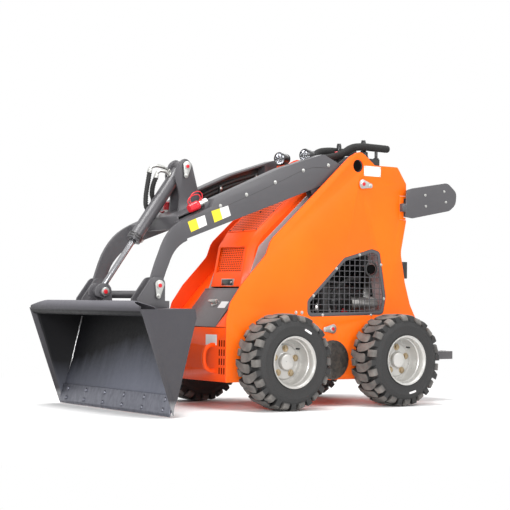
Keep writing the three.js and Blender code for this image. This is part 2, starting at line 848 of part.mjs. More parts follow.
// ---- boom ----------------------------------------------------------------------------------
const armCorners = [
  [-265, 1257],
  [17, 1377, 30],
  [310, 1281, 300],
  [730, 1097.5, 3],
  [748, 1052, 3],
  [930, 971],
  [930, 871],
  [-50, 1232, 60],
  [-250, 1170],
];
const armPocket = [
  [80, 1346],
  [310, 1270],
  [700, 1099],
  [700, 967],
  [80, 1195],
];

// Height of the arm's straight underside at a given place along it.
function armUnderside(x) {
  const [x0, z0] = armCorners[7];
  const [x1, z1] = armCorners[6];
  return z0 + ((x - x0) * (z1 - z0)) / (x1 - x0);
}

// An edge of the gooseneck: a smooth bend that starts and ends along the lines to its corner.
function neckEdge(start, corner, end) {
  const pull = 0.8;
  const [a, c, b] = [start, corner, end].map(([x, z]) => new THREE.Vector2(x, z));
  return new THREE.CubicBezierCurve(a, a.clone().lerp(c, pull), b.clone().lerp(c, pull), b);
}

// The gooseneck: one thick plate that bends down and steps outwards to sit between the ears.
function neckGeometry() {
  const front = neckEdge([900, 985], [1052, 919], [BUCKET_PIVOT.x + 39, BUCKET_PIVOT.z + 9]);
  const rear = neckEdge([893, 874], [1010, 820], [BUCKET_PIVOT.x - 28, BUCKET_PIVOT.z - 1]);
  const foldStart = 0.1;
  const foldEnd = 0.7;
  const steps = 10;
  const sections = [];
  for (let i = 0; i <= steps; i += 1) {
    const t = i / steps;
    const step = THREE.MathUtils.clamp((t - foldStart) / (foldEnd - foldStart), 0, 1);
    const y = armOuter - NECK_SHEET + step * NECK_FLARE;
    const f = front.getPoint(t);
    const r = rear.getPoint(t);
    sections.push([
      [f.x, y, f.y],
      [r.x, y, r.y],
      [r.x, y + NECK_SHEET, r.y],
      [f.x, y + NECK_SHEET, f.y],
    ]);
  }
  return boxChain(sections);
}

function armGeometry() {
  const beam = join(
    plate(outline(armCorners), armInner, armOuter),
    neckGeometry(),
    barY(BOOM_PIVOT.x, BOOM_PIVOT.z, 60, armInner, armOuter),
    barY(BUCKET_PIVOT.x, BUCKET_PIVOT.z, 41, bossInner, bossOuter),
  );
  const eyeGap = LIFT_EYE_WIDTH / 2 + SIDE_PLAY;
  const lugOutline = outline([
    [LIFT_LUG.x - 46, armUnderside(LIFT_LUG.x - 46) + 12],
    [LIFT_LUG.x - 30, LIFT_LUG.z - 30, 28],
    [LIFT_LUG.x + 30, LIFT_LUG.z - 30, 28],
    [LIFT_LUG.x + 60, armUnderside(LIFT_LUG.x + 60) + 12],
  ]);
  const lug = (y0, y1) => plate(lugOutline, y0, y1);
  const lugs = [
    lug(slotMiddle + eyeGap, slotMiddle + eyeGap + ARM_WALL),
    lug(slotMiddle - eyeGap - ARM_WALL, slotMiddle - eyeGap),
  ];
  const eyeSlot = plate(
    outline([
      [-20, armUnderside(-20) - 20],
      [-20, armUnderside(-20) + 44],
      [130, armUnderside(130) + 44],
      [130, armUnderside(130) - 20],
    ]),
    slotMiddle - eyeGap,
    slotMiddle + eyeGap,
  );
  return cut(
    join(beam, ...lugs),
    eyeSlot,
    plate(outline(armPocket), armInner - 5, armOuter - ARM_WALL),
    barY(BOOM_PIVOT.x, BOOM_PIVOT.z, BOOM_PIN_RADIUS + PIN_PLAY, armInner - 5, armOuter + 5),
    barY(BUCKET_PIVOT.x, BUCKET_PIVOT.z, BUCKET_PIN_RADIUS + PIN_PLAY, bossInner - 5, bossOuter + 5),
  );
}

addPair("boom_arm", armGeometry(), GREY);

// Cross tube between the arms, with the two bracket plates that hold the tilt cylinder's top pin.
const bracketCorners = [
  [700, 1060],
  [671, 1104, 10],
  [691, 1151, 60],
  [731, 1290, 26],
  [770, 1326, 30],
  [812, 1298, 26],
  [842, 1232, 60],
  [803, 1120, 60],
  [815, 1020],
];
const crossCorners = [
  [705, 1078, 8],
  [908, 1003, 6],
  [902, 932, 8],
  [720, 985, 8],
];
const crossHollow = [
  [717, 1065],
  [898, 997],
  [894, 945],
  [729, 993],
];
const bracketInner = TILT_EYE_WIDTH / 2 + 3;

function crossmemberGeometry() {
  const half = armInner - FIT;
  const beam = cut(
    plate(outline(crossCorners), -half, half),
    plate(outline(crossHollow), -half - 5, half + 5),
  );
  const bracket = (y) => plate(outline(bracketCorners), y, y + BRACKET_SHEET);
  const pinEnd = bracketInner + BRACKET_SHEET + 8;
  return join(
    beam,
    bracket(bracketInner),
    bracket(-bracketInner - BRACKET_SHEET),
    barY(TILT_TOP.x, TILT_TOP.z, BUCKET_PIN_RADIUS, -pinEnd, pinEnd),
  );
}

add("boom_crossmember", crossmemberGeometry(), GREY);

// ---- cylinders -----------------------------------------------------------------------------
function unitFrom(a, b) {
  return new THREE.Vector2(b.x - a.x, b.z - a.z).normalize();
}

// A barrel with an eye at its pinned end and an open bore for the rod.
function barrelGeometry(pin, towards, y, size) {
  const way = unitFrom(pin, towards);
  const at = (s) => [pin.x + way.x * s, y, pin.z + way.y * s];
  const eye = barY(pin.x, pin.z, size.eye, y - size.eyeWidth / 2, y + size.eyeWidth / 2);
  const tube = barBetween(at(size.eye - 4), at(size.length), size.radius);
  const collar = barBetween(at(size.length - 26), at(size.length + 4), size.radius + 4);
  const bore = barBetween(at(size.eye + 30), at(size.length + 20), size.rod + ROD_PLAY);
  const pinHole = barY(pin.x, pin.z, size.pin + PIN_PLAY, y - size.eyeWidth, y + size.eyeWidth);
  return cut(join(eye, tube, collar), bore, pinHole);
}

// A rod with an eye at its outer end.
function rodGeometry(foot, pin, y, size) {
  const way = unitFrom(foot, pin);
  const at = (s) => [foot.x + way.x * s, y, foot.z + way.y * s];
  const eye = barY(foot.x, foot.z, size.eye, y - size.eyeWidth / 2, y + size.eyeWidth / 2);
  return join(eye, barBetween(at(0), at(size.rodLength), size.rod));
}

const liftSize = {
  radius: LIFT_BARREL_RADIUS,
  length: LIFT_BARREL_LENGTH,
  rod: LIFT_ROD_RADIUS,
  rodLength: LIFT_ROD_LENGTH,
  eye: LIFT_EYE_RADIUS + 6,
  eyeWidth: LIFT_EYE_WIDTH + 24,
  pin: BOOM_PIN_RADIUS,
};
const liftRodSize = { ...liftSize, eye: LIFT_EYE_RADIUS, eyeWidth: LIFT_EYE_WIDTH };
addPair("lift_barrel", barrelGeometry(LIFT_BASE, LIFT_LUG, slotMiddle, liftSize), BLACK);
addPair("lift_rod", rodGeometry(LIFT_LUG, LIFT_BASE, slotMiddle, liftRodSize), CHROME);

const tiltSize = {
  radius: TILT_BARREL_RADIUS,
  length: TILT_BARREL_LENGTH,
  rod: TILT_ROD_RADIUS,
  rodLength: TILT_ROD_LENGTH,
  eye: TILT_EYE_RADIUS + 4,
  eyeWidth: TILT_EYE_WIDTH,
  pin: BUCKET_PIN_RADIUS,
};
const tiltRodSize = { ...tiltSize, eye: TILT_EYE_RADIUS, eyeWidth: TILT_ROD_EYE_WIDTH };
add("tilt_barrel", barrelGeometry(TILT_TOP, TILT_FOOT, 0, tiltSize), GREY);
add("tilt_rod", rodGeometry(TILT_FOOT, TILT_TOP, 0, tiltRodSize), CHROME);

// ---- bucket --------------------------------------------------------------------------------
const frameBottom = BUCKET_BACK.z + FIT;
const frameTop = frameBottom + 12;
const earTop = BUCKET_PIVOT.z + 42;
const earCorners = [
  [1215, frameBottom + 2],
  [1212, 575, 12],
  [BUCKET_PIVOT.x + 38, earTop, 34],
  [BUCKET_PIVOT.x - 38, earTop, 34],
  [BUCKET_PIVOT.x - 38, frameBottom + 37],
  [BUCKET_PIVOT.x - 64, frameBottom + 37],
  [BUCKET_PIVOT.x - 64, frameBottom + 2],
];
const frameFront = BUCKET_LIP.x - ROLL_RADIUS - 68; // stays behind the rolled edge
const clevisCorners = [
  [frameFront, frameBottom + 2],
  [frameFront, 572],
  [TILT_FOOT.x + 43, 588, 12],
  [TILT_FOOT.x + 43, TILT_FOOT.z + 43, 40],
  [TILT_FOOT.x - 43, TILT_FOOT.z + 43, 40],
  [TILT_FOOT.x - 53, frameBottom + 2],
];

function attachFrameGeometry() {
  const outerEar = bossOuter + SIDE_PLAY;
  const innerEar = bossInner - SIDE_PLAY;
  const earSheet = 12;
  const ear = (y0, y1) => plate(outline(earCorners), y0, y1);
  const clevis = (y) => plate(outline(clevisCorners), y, y + BRACKET_SHEET);
  const clevisInner = TILT_ROD_EYE_WIDTH / 2 + SIDE_PLAY;
  const pinReach = outerEar + earSheet + 6;
  const half = outerEar + earSheet;
  const base = box(BUCKET_PIVOT.x - 62, frameFront, -half, half, frameBottom, frameTop);
  const bar = (x) => box(x, x + 28, -half, half, frameBottom, frameBottom + 36);
  const tube = barY(1124, 596, 20, -innerEar + 2, innerEar - 2);
  const pieces = [base, bar(BUCKET_PIVOT.x - 64), bar(frameFront - 28), tube, clevis(clevisInner), clevis(-clevisInner - BRACKET_SHEET)];
  for (const side of [1, -1]) {
    pieces.push(ear(side * outerEar, side * (outerEar + earSheet)));
    pieces.push(ear(side * innerEar, side * (innerEar - earSheet)));
    pieces.push(
      barY(BUCKET_PIVOT.x, BUCKET_PIVOT.z, BUCKET_PIN_RADIUS, side * (innerEar - earSheet), side * pinReach),
    );
  }
  return join(...pieces);
}

add("attach_frame", attachFrameGeometry(), GREY);

const bucketHalf = BUCKET_WIDTH / 2;
const bucketFlat = bucketHalf - BUCKET_FLARE;

// A point on the fold of the side plate: from near the lip down to the heel.
const foldTop = [BUCKET_LIP.x - 37, BUCKET_LIP.z - 1];
const foldFoot = [BUCKET_HEEL.x + 18, BUCKET_HEEL.z - 34];

function bucketSide(side) {
  const flat = side * bucketFlat;
  const far = side * bucketHalf;
  const rear = slab(
    [
      [foldTop[0], flat, foldTop[1]],
      [BUCKET_BACK.x, flat, BUCKET_BACK.z],
      [BUCKET_CORNER.x, flat, BUCKET_CORNER.z],
      [BUCKET_HEEL.x, flat, BUCKET_HEEL.z],
      [foldFoot[0], flat, foldFoot[1]],
    ],
    -side * BUCKET_SIDE,
  );
  const strip = slab(
    [
      [foldTop[0] - 0.5, flat, foldTop[1]],
      [foldFoot[0] - 0.5, flat, foldFoot[1]],
      [BUCKET_TIP.x, far, BUCKET_TIP.z + 10],
      [BUCKET_LIP.x, far, BUCKET_LIP.z],
    ],
    -side * BUCKET_SIDE,
  );
  return join(rear, strip);
}

const floorWay = unitFrom(BUCKET_CORNER, BUCKET_TIP);

// A point on the outside of the bucket floor, measured back from its tip.
function fromTip(back, inside) {
  return [
    BUCKET_TIP.x - floorWay.x * back - floorWay.y * inside,
    BUCKET_TIP.z - floorWay.y * back + floorWay.x * inside,
  ];
}

// The rolled edge along the lip: a curled sheet whose ends are cut down towards the sides.
function rollGeometry(half) {
  const middle = { x: BUCKET_LIP.x - ROLL_RADIUS, z: BUCKET_LIP.z + 4 };
  const line = [[middle.x - 62, BUCKET_BACK.z - 4]];
  for (let angle = 110; angle >= -100; angle -= 21) {
    const turn = THREE.MathUtils.degToRad(angle);
    line.push([middle.x + ROLL_RADIUS * Math.cos(turn), middle.z + ROLL_RADIUS * Math.sin(turn)]);
  }
  const wedge = (side) => {
    const section = (x) => {
      const ring = [
        [x, side * (bucketHalf + 5), BUCKET_LIP.z + 8],
        [x, side * (bucketHalf + 5), BUCKET_LIP.z + 90],
        [x, side * (bucketHalf - ROLL_TAPER), BUCKET_LIP.z + 90],
        [x, side * (bucketHalf - ROLL_TAPER), middle.z + ROLL_RADIUS],
      ];
      return side > 0 ? ring : ring.toReversed();
    };
    return boxChain([section(middle.x - 100), section(BUCKET_LIP.x + 20)]);
  };
  return cut(bentSheet(line, BUCKET_SHEET, -half, half), wedge(1), wedge(-1));
}

function bucketGeometry() {
  const half = bucketFlat - 2;
  const sheet = bentSheet(
    [
      [BUCKET_LIP.x, BUCKET_LIP.z],
      [BUCKET_BACK.x, BUCKET_BACK.z],
      [BUCKET_CORNER.x, BUCKET_CORNER.z],
      fromTip(24, 0),
    ].toReversed(),
    BUCKET_SHEET,
    -half,
    half,
  );
  return join(sheet, rollGeometry(half), bucketSide(1), bucketSide(-1));
}

add("bucket_shell", bucketGeometry(), GREY);

// Bolt-on cutting edge along the inside of the floor's free end.
const edgeHalf = bucketFlat - BUCKET_SIDE - 2;
const seat = BUCKET_SHEET + FIT;
add(
  "cutting_edge",
  plate(
    outline([
      fromTip(0, seat),
      fromTip(EDGE_LENGTH, seat),
      fromTip(EDGE_LENGTH, seat + EDGE_THICKNESS),
      fromTip(14, seat + EDGE_THICKNESS),
    ]),
    -edgeHalf,
    edgeHalf,
  ),
  GREY,
);

// The origin is on the ground under the middle of the whole machine's length.
const bounds = new THREE.Box3().setFromObject(loader);
loader.position.x = -(bounds.min.x + bounds.max.x) / 2;
loader.position.z = -bounds.min.z;

export default loader;
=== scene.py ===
# %% [markdown]
# A stand-on skid steer loader, dressed for close viewing. The frame already holds every
# plate, pin and cylinder at its real size, so this lesson only adds what a camera would
# notice: rounded edges, tyre lugs, bolts, hoses and finishes. Everything is in metres,
# +X forward, +Y to the machine's left, +Z up, in the same place as the frame.

# %% Load the frame
import json
import math

import bpy
from mathutils import Matrix, Vector


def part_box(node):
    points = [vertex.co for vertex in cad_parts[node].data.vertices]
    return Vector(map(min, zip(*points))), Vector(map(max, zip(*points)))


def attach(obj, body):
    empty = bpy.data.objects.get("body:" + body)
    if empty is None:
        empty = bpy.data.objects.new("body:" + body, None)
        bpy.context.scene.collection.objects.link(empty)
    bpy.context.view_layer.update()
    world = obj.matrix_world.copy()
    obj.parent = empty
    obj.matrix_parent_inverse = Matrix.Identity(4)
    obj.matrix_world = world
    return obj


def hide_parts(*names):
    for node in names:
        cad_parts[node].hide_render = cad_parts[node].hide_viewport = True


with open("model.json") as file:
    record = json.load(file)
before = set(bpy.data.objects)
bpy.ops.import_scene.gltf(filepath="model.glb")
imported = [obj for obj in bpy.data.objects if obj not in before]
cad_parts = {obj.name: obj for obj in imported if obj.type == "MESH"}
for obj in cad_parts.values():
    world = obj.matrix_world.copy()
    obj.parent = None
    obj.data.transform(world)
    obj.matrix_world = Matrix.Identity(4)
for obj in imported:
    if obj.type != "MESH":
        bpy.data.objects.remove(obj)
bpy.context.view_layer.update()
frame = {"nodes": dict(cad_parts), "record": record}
print("nodes in the frame:", len(frame["nodes"]))

# %% [markdown]
# Places on a machine are easiest to give from the wheels, as a fitter would measure them:
# lengths from midway between the axles, heights from the ground. The axle nodes say where
# that is in the frame, so nothing has to be fitted by eye.

# %% Measure from the axles
def middle_of(node):
    low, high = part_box(node)
    return (Vector(low) + Vector(high)) / 2


TYRE_RADIUS = 0.254
front_axle = middle_of("front_axle")
rear_axle = middle_of("rear_axle")
mid_x = (front_axle.x + rear_axle.x) / 2
ground = front_axle.z - TYRE_RADIUS


def place(x, y, z):
    return Vector((mid_x + x, y, ground + z))


print("wheelbase", round(front_axle.x - rear_axle.x, 3), "ground at", round(ground, 4))

# %% [markdown]
# The camera stands low, ahead of the machine and to its left, and looks slightly up, so
# that the bucket is near and the side panel shows in full. Its turn is built from three
# directions: where it looks, what is right of it and what is above it.

# %% Camera
LENS = 100.7
AZIMUTH = math.radians(144.868)
PITCH = math.radians(-1.8919)
ROLL = math.radians(0.5992)
CAMERA_SPOT = place(4.7999, 6.4227, 0.5635)

look = Vector((
    -math.sin(AZIMUTH) * math.cos(PITCH),
    math.cos(AZIMUTH) * math.cos(PITCH),
    -math.sin(PITCH),
))
level_right = look.cross(Vector((0, 0, 1))).normalized()
level_up = level_right.cross(look)
right = math.cos(ROLL) * level_right + math.sin(ROLL) * level_up
up = -math.sin(ROLL) * level_right + math.cos(ROLL) * level_up
turn = Matrix((right, up, -look)).transposed().to_4x4()

bpy.ops.object.camera_add()
camera = bpy.context.active_object
camera.name = "camera"
camera.data.lens = LENS
camera.data.sensor_width = 36
camera.data.clip_end = 200
camera.matrix_world = Matrix.Translation(CAMERA_SPOT) @ turn
bpy.context.scene.camera = camera
print("camera looks along", [round(v, 3) for v in look])

# %% [markdown]
# A wide pale floor and a bright plain surround act as the studio. Near the machine the
# floor keeps its soft shadow, and further out it melts into the same white as the
# surround. Both are full white to the camera, to shiny metal and through glass, but light
# the machine only gently, so that the soft lamps can shape it.

# %% Studio floor
def clear_selection():
    if bpy.context.object and bpy.context.object.mode != "OBJECT":
        bpy.ops.object.mode_set(mode="OBJECT")
    bpy.ops.object.select_all(action="DESELECT")


FLOOR_SIZE = 120
FLOOR_SHADOW = 1.0
FLOOR_WHITE = 3.2

clear_selection()
bpy.ops.mesh.primitive_plane_add(size=FLOOR_SIZE, location=(0, 0, -0.0005))
floor = bpy.context.active_object
floor.name = "studio_floor"


def seen_directly(tree):
    """One for rays that reach the eye straight, off a shiny surface or through glass."""
    path = tree.nodes.new("ShaderNodeLightPath")
    seen = path.outputs["Is Camera Ray"]
    for kind in ("Is Glossy Ray", "Is Transmission Ray"):
        either = tree.nodes.new("ShaderNodeMath")
        either.operation = "MAXIMUM"
        tree.links.new(seen, either.inputs[0])
        tree.links.new(path.outputs[kind], either.inputs[1])
        seen = either.outputs[0]
    return seen


floor_paint = bpy.data.materials.new("floor_paint")
floor_paint.use_nodes = True
paint = floor_paint.node_tree
floor_shader = paint.nodes["Principled BSDF"]
floor_shader.inputs["Base Color"].default_value = (0.93, 0.93, 0.93, 1)
floor_shader.inputs["Roughness"].default_value = 0.9
spot = paint.nodes.new("ShaderNodeTexCoord")
distance = paint.nodes.new("ShaderNodeVectorMath")
distance.operation = "LENGTH"
paint.links.new(spot.outputs["Object"], distance.inputs[0])
melt = paint.nodes.new("ShaderNodeMapRange")
melt.interpolation_type = "SMOOTHSTEP"
melt.inputs["From Min"].default_value = FLOOR_SHADOW
melt.inputs["From Max"].default_value = FLOOR_WHITE
paint.links.new(distance.outputs["Value"], melt.inputs["Value"])
amount = paint.nodes.new("ShaderNodeMath")
amount.operation = "MULTIPLY"
paint.links.new(melt.outputs["Result"], amount.inputs[0])
paint.links.new(seen_directly(paint), amount.inputs[1])
glow = paint.nodes.new("ShaderNodeEmission")
glow.inputs["Color"].default_value = (1, 1, 1, 1)
mixed = paint.nodes.new("ShaderNodeMixShader")
paint.links.new(amount.outputs[0], mixed.inputs["Fac"])
paint.links.new(floor_shader.outputs["BSDF"], mixed.inputs[1])
paint.links.new(glow.outputs["Emission"], mixed.inputs[2])
paint.links.new(mixed.outputs["Shader"], paint.nodes["Material Output"].inputs["Surface"])
floor.data.materials.append(floor_paint)

print("floor turns white between", FLOOR_SHADOW, "and", FLOOR_WHITE, "m from its middle")

# %% [markdown]
# The surround is one plain white. The same light path test keeps it bright to the camera
# and dim to the machine.

# %% Surround
SURROUND_LIGHT = 0.60
world = bpy.data.worlds.new("surround")
bpy.context.scene.world = world
world.use_nodes = True
sky = world.node_tree
sky_light = sky.nodes["Background"]
sky_light.inputs["Color"].default_value = (1, 1, 1, 1)
sky_level = sky.nodes.new("ShaderNodeMapRange")
sky_level.inputs["To Min"].default_value = SURROUND_LIGHT
sky.links.new(seen_directly(sky), sky_level.inputs["Value"])
sky.links.new(sky_level.outputs["Result"], sky_light.inputs["Strength"])
bpy.context.scene.view_settings.view_transform = "Standard"
print("surround lights the machine at", SURROUND_LIGHT)

# %% [markdown]
# Four broad area lamps: one high on the machine's left, because its side is the brightest
# part, a strong one ahead and to the left for the nose and the bucket, one overhead that
# brightens every upper face, and a weak one behind that draws a thin line of light.

# %% Soft lamps
def soft_lamp(name, spot, aim, size, power):
    clear_selection()
    bpy.ops.object.light_add(type="AREA", location=spot)
    lamp = bpy.context.active_object
    lamp.name = name
    lamp.data.shape = "DISK"
    lamp.data.size = size
    lamp.data.energy = power
    lamp.rotation_euler = (Vector(aim) - Vector(spot)).to_track_quat("-Z", "Y").to_euler()
    print(name, power, "W")


soft_lamp("side_lamp", (-1.8, 6.2, 5.2), (0, 0, 0.7), 4.0, 190)
soft_lamp("front_lamp", (5.4, 5.4, 2.4), (0.5, 0, 0.5), 2.5, 400)
soft_lamp("top_lamp", (1.2, 0.2, 6.5), (0.6, 0, 0.6), 3.5, 360)
soft_lamp("back_lamp", (-5.5, -4.0, 4.5), (0, 0, 0.8), 4.0, 120)

# %% [markdown]
# Every finish here is a node material that reads the place on the object itself, so the
# grain stays put when parts move. These small helpers add one node each: a cloud of
# noise, a range that turns it into something useful, a blend of two colours, and a bump.

# %% Helpers for finishes
def new_finish(name):
    finish = bpy.data.materials.new(name)
    finish.use_nodes = True
    tree = finish.node_tree
    coords = tree.nodes.new("ShaderNodeTexCoord")
    return finish, tree, tree.nodes["Principled BSDF"], coords.outputs["Object"]


def stretched(tree, coords, scale):
    mapping = tree.nodes.new("ShaderNodeMapping")
    mapping.inputs["Scale"].default_value = scale
    tree.links.new(coords, mapping.inputs["Vector"])
    return mapping.outputs["Vector"]


def cloud(tree, coords, scale, detail=4, roughness=0.55):
    noise = tree.nodes.new("ShaderNodeTexNoise")
    noise.inputs["Scale"].default_value = scale
    noise.inputs["Detail"].default_value = detail
    noise.inputs["Roughness"].default_value = roughness
    tree.links.new(coords, noise.inputs["Vector"])
    return noise.outputs["Fac"]


def ranged(tree, value, from_low, from_high, to_low, to_high):
    node = tree.nodes.new("ShaderNodeMapRange")
    node.inputs["From Min"].default_value = from_low
    node.inputs["From Max"].default_value = from_high
    node.inputs["To Min"].default_value = to_low
    node.inputs["To Max"].default_value = to_high
    tree.links.new(value, node.inputs["Value"])
    return node.outputs["Result"]


def sums(tree, kind, a, b):
    node = tree.nodes.new("ShaderNodeMath")
    node.operation = kind
    for socket, value in zip(node.inputs, (a, b)):
        if isinstance(value, (int, float)):
            socket.default_value = value
        else:
            tree.links.new(value, socket)
    return node.outputs[0]


def blended(tree, amount, first, second):
    node = tree.nodes.new("ShaderNodeMix")
    node.data_type = "RGBA"
    tree.links.new(amount, node.inputs["Factor"])
    for socket, value in ((node.inputs["A"], first), (node.inputs["B"], second)):
        if isinstance(value, tuple):
            socket.default_value = (*value, 1)
        else:
            tree.links.new(value, socket)
    return node.outputs["Result"]


def bumped(tree, shader, height, distance):
    node = tree.nodes.new("ShaderNodeBump")
    node.inputs["Distance"].default_value = distance
    node.inputs["Strength"].default_value = 1.0
    tree.links.new(height, node.inputs["Height"])
    tree.links.new(node.outputs["Normal"], shader.inputs["Normal"])


print("helpers ready")

# %% [markdown]
# Powder coat is never one flat colour. It has a faint orange-peel surface, it pales a
# little where light wear rubs it, and near the ground it carries a thin film of dust that
# also dulls the gloss. One function makes all the painted finishes from a few numbers.

# %% Painted finishes
DUST = (0.30, 0.24, 0.18)


def painted(name, colour, shade, gloss, metal=0.0, dust=0.35, coat=0.15, peel=0.00012, sheen=0.5):
    finish, tree, shader, coords = new_finish(name)
    patches = cloud(tree, coords, 2.3, 5)
    grain = cloud(tree, coords, 45, 6, 0.7)
    base = blended(tree, ranged(tree, patches, 0.35, 0.7, 0, 1), colour, shade)
    split = tree.nodes.new("ShaderNodeSeparateXYZ")
    tree.links.new(coords, split.inputs["Vector"])
    low = ranged(tree, split.outputs["Z"], 0.05, 0.55, dust, 0.02)
    film = sums(tree, "MULTIPLY", low, ranged(tree, grain, 0.38, 0.72, 0.1, 1))
    tree.links.new(blended(tree, film, base, DUST), shader.inputs["Base Color"])
    rough = ranged(tree, grain, 0.3, 0.75, gloss - 0.05, gloss + 0.1)
    tree.links.new(sums(tree, "ADD", rough, film), shader.inputs["Roughness"])
    shader.inputs["Metallic"].default_value = metal
    shader.inputs["Specular IOR Level"].default_value = sheen
    shader.inputs["Coat Weight"].default_value = coat
    shader.inputs["Coat Roughness"].default_value = 0.12
    skin = sums(tree, "ADD", cloud(tree, coords, 420, 2), sums(tree, "MULTIPLY", grain, 0.6))
    bumped(tree, shader, skin, peel)
    return finish


orange_paint = painted(
    "orange_powder_coat", (0.95, 0.140, 0.001), (0.90, 0.118, 0.001), 0.40, dust=0.20, coat=0.02,
    sheen=0.25,
)
# A deeper, redder copy of the orange for the nose, hood, front plate, slot floors, belly pan and grille:
# painted shade on the faces that look forward.
shaded_orange_paint = painted(
    "orange_powder_coat_painted_shade", (0.95, 0.085, 0.001), (0.90, 0.070, 0.001), 0.38, dust=0.10, coat=0.03, sheen=0.25,
)
grey_paint = painted("grey_enamel", (0.066, 0.064, 0.070), (0.054, 0.052, 0.058), 0.40, dust=0.10)
bucket_paint = painted(
    "bucket_grey", (0.052, 0.051, 0.058), (0.042, 0.041, 0.047), 0.45, dust=0.06, coat=0.0, sheen=0.2,
)
# The lid's grey is paler than the other greys: painted light on its upward-facing slope.
lit_lid_grey = painted("lid_grey", (0.125, 0.112, 0.115), (0.105, 0.094, 0.097), 0.42, dust=0.05)
# A pale grey for the towers' inner plates: painted light, so that the strip seen in the slot looks lit from
# above.
lit_tower_grey = painted("tower_grey", (0.34, 0.32, 0.32), (0.28, 0.265, 0.265), 0.5, dust=0.10)
black_paint = painted("black_enamel", (0.014, 0.014, 0.015), (0.022, 0.021, 0.021), 0.38)
rim_paint = painted("rim_silver", (0.56, 0.56, 0.54), (0.45, 0.44, 0.42), 0.30, metal=0.35, dust=0.10)


print("painted finishes: 8")

# %% [markdown]
# Some painted parts need a second colour in one region: painted shade on the floor inside
# the bucket, a painted highlight on top of the rolled lip, scraped lower tips, black painted
# shade on the tower tops and a deeper orange of painted shade on the faces that look
# inwards. Each region is a mask worked out from the place alone.

# %% Second colours on the paint
def recoloured(finish, mask_of, colour_of):
    """Lays a second colour over a painted finish wherever the mask says so."""
    tree = finish.node_tree
    shader = tree.nodes["Principled BSDF"]
    under = shader.inputs["Base Color"].links[0].from_socket
    coords = next(node for node in tree.nodes if node.type == "TEX_COORD").outputs["Object"]
    split = tree.nodes.new("ShaderNodeSeparateXYZ")
    tree.links.new(coords, split.inputs["Vector"])
    x, y, z = (split.outputs[axis] for axis in "XYZ")
    over = blended(tree, mask_of(tree, x, y, z), under, colour_of(tree, coords, z))
    tree.links.new(over, shader.inputs["Base Color"])


BUCKET_HALF = 0.5765
LIP_HEIGHT = 0.515
FLOOR_FACING = Vector((0.9643, 0, 0.2648))
FLOOR_TOP = place(1.032, 0, 0.484)


def bucket_inside(tree, x, y, z):
    """One inside the bucket: between its sides, ahead of its floor and below its lip."""
    between = ranged(tree, sums(tree, "ABSOLUTE", y, 0), BUCKET_HALF - 0.001, BUCKET_HALF + 0.001, 1, 0)
    below = ranged(tree, z, ground + LIP_HEIGHT - 0.003, ground + LIP_HEIGHT + 0.003, 1, 0)
    ahead_x = sums(tree, "MULTIPLY", x, FLOOR_FACING.x)
    ahead = sums(tree, "ADD", ahead_x, sums(tree, "MULTIPLY", z, FLOOR_FACING.z))
    floor_at = FLOOR_TOP.dot(FLOOR_FACING)
    ahead = ranged(tree, ahead, floor_at + 0.002, floor_at + 0.004, 0, 1)
    return sums(tree, "MULTIPLY", sums(tree, "MULTIPLY", between, below), ahead)


def bucket_floor_shade(tree, coords, z):
    """Painted shade: almost black near the top, under the lip, and on the far side, paling to a cool grey
    near the edge.
    """
    shade_edge_noise = cloud(tree, stretched(tree, coords, (1, 3, 0.6)), 6, 5, 0.6)
    split = tree.nodes.new("ShaderNodeSeparateXYZ")
    tree.links.new(coords, split.inputs["Vector"])
    far_side = ranged(tree, split.outputs["Y"], -0.56, 0.10, 0.16, 0)
    height = sums(tree, "ADD", z, ranged(tree, shade_edge_noise, 0.3, 0.7, -0.02, 0.02))
    share = ranged(tree, sums(tree, "ADD", height, far_side), ground + 0.10, ground + 0.40, 0, 1)
    return blended(tree, share, (0.125, 0.132, 0.165), (0.003, 0.003, 0.004))


def lip_top_highlight(tree, x, y, z):
    """A painted highlight: one on the top of the rolled lip above the opening, between the sides."""
    between = ranged(tree, sums(tree, "ABSOLUTE", y, 0), 0.560, 0.575, 1, 0)
    return sums(tree, "MULTIPLY", between, ranged(tree, z, ground + 0.520, ground + 0.555, 0, 1))


def worn_tips(tree, x, y, z):
    """One at the scraped lower tips of the two side plates."""
    outside = ranged(tree, sums(tree, "ABSOLUTE", y, 0), 0.572, 0.578, 0, 1)
    return sums(tree, "MULTIPLY", outside, ranged(tree, z, ground + 0.055, ground + 0.085, 1, 0))


def panel_inside_shade(tree, x, y, z):
    """Painted shade: one on every orange face that looks in from the outer skin."""
    return ranged(tree, sums(tree, "ABSOLUTE", y, 0), 0.2872, 0.2884, 1, 0)


def tower_top_shade(tree, x, y, z):
    """Painted shade: one on the top of the towers, which is painted black."""
    return ranged(tree, z, ground + 1.20, ground + 1.27, 0, 1)


def mottled(scale, first, second):
    """Makes a colour function that drifts between two colours."""
    return lambda tree, coords, z: blended(tree, cloud(tree, coords, scale), first, second)


# A deeper orange on the inward faces of the orange parts is painted shade.
recoloured(orange_paint, panel_inside_shade, mottled(4, (0.92, 0.058, 0.001), (0.88, 0.050, 0.001)))
# Painted shade on the floor inside the bucket, darkest under the lip and on the far side.
recoloured(bucket_paint, bucket_inside, bucket_floor_shade)
# A paler grey on top of the rolled lip is a painted highlight from above.
recoloured(bucket_paint, lip_top_highlight, mottled(5, (0.115, 0.112, 0.128), (0.095, 0.093, 0.105)))
recoloured(bucket_paint, worn_tips, mottled(30, (0.30, 0.30, 0.31), (0.20, 0.20, 0.21)))
# Black on the tower tops is painted shade.
recoloured(lit_tower_grey, tower_top_shade, mottled(60, (0.016, 0.016, 0.017), (0.024, 0.024, 0.025)))
print("second colours laid over paint: 5")

# %% [markdown]
# Tyre rubber is almost black between the lugs. On top of them, where it meets the ground,
# it is greyed with dried dust and with a painted highlight where light catches the tops.
# The lugs carry a number in their mesh that marks their tops, one on top and nought down
# in the grooves, and the finish reads that number.

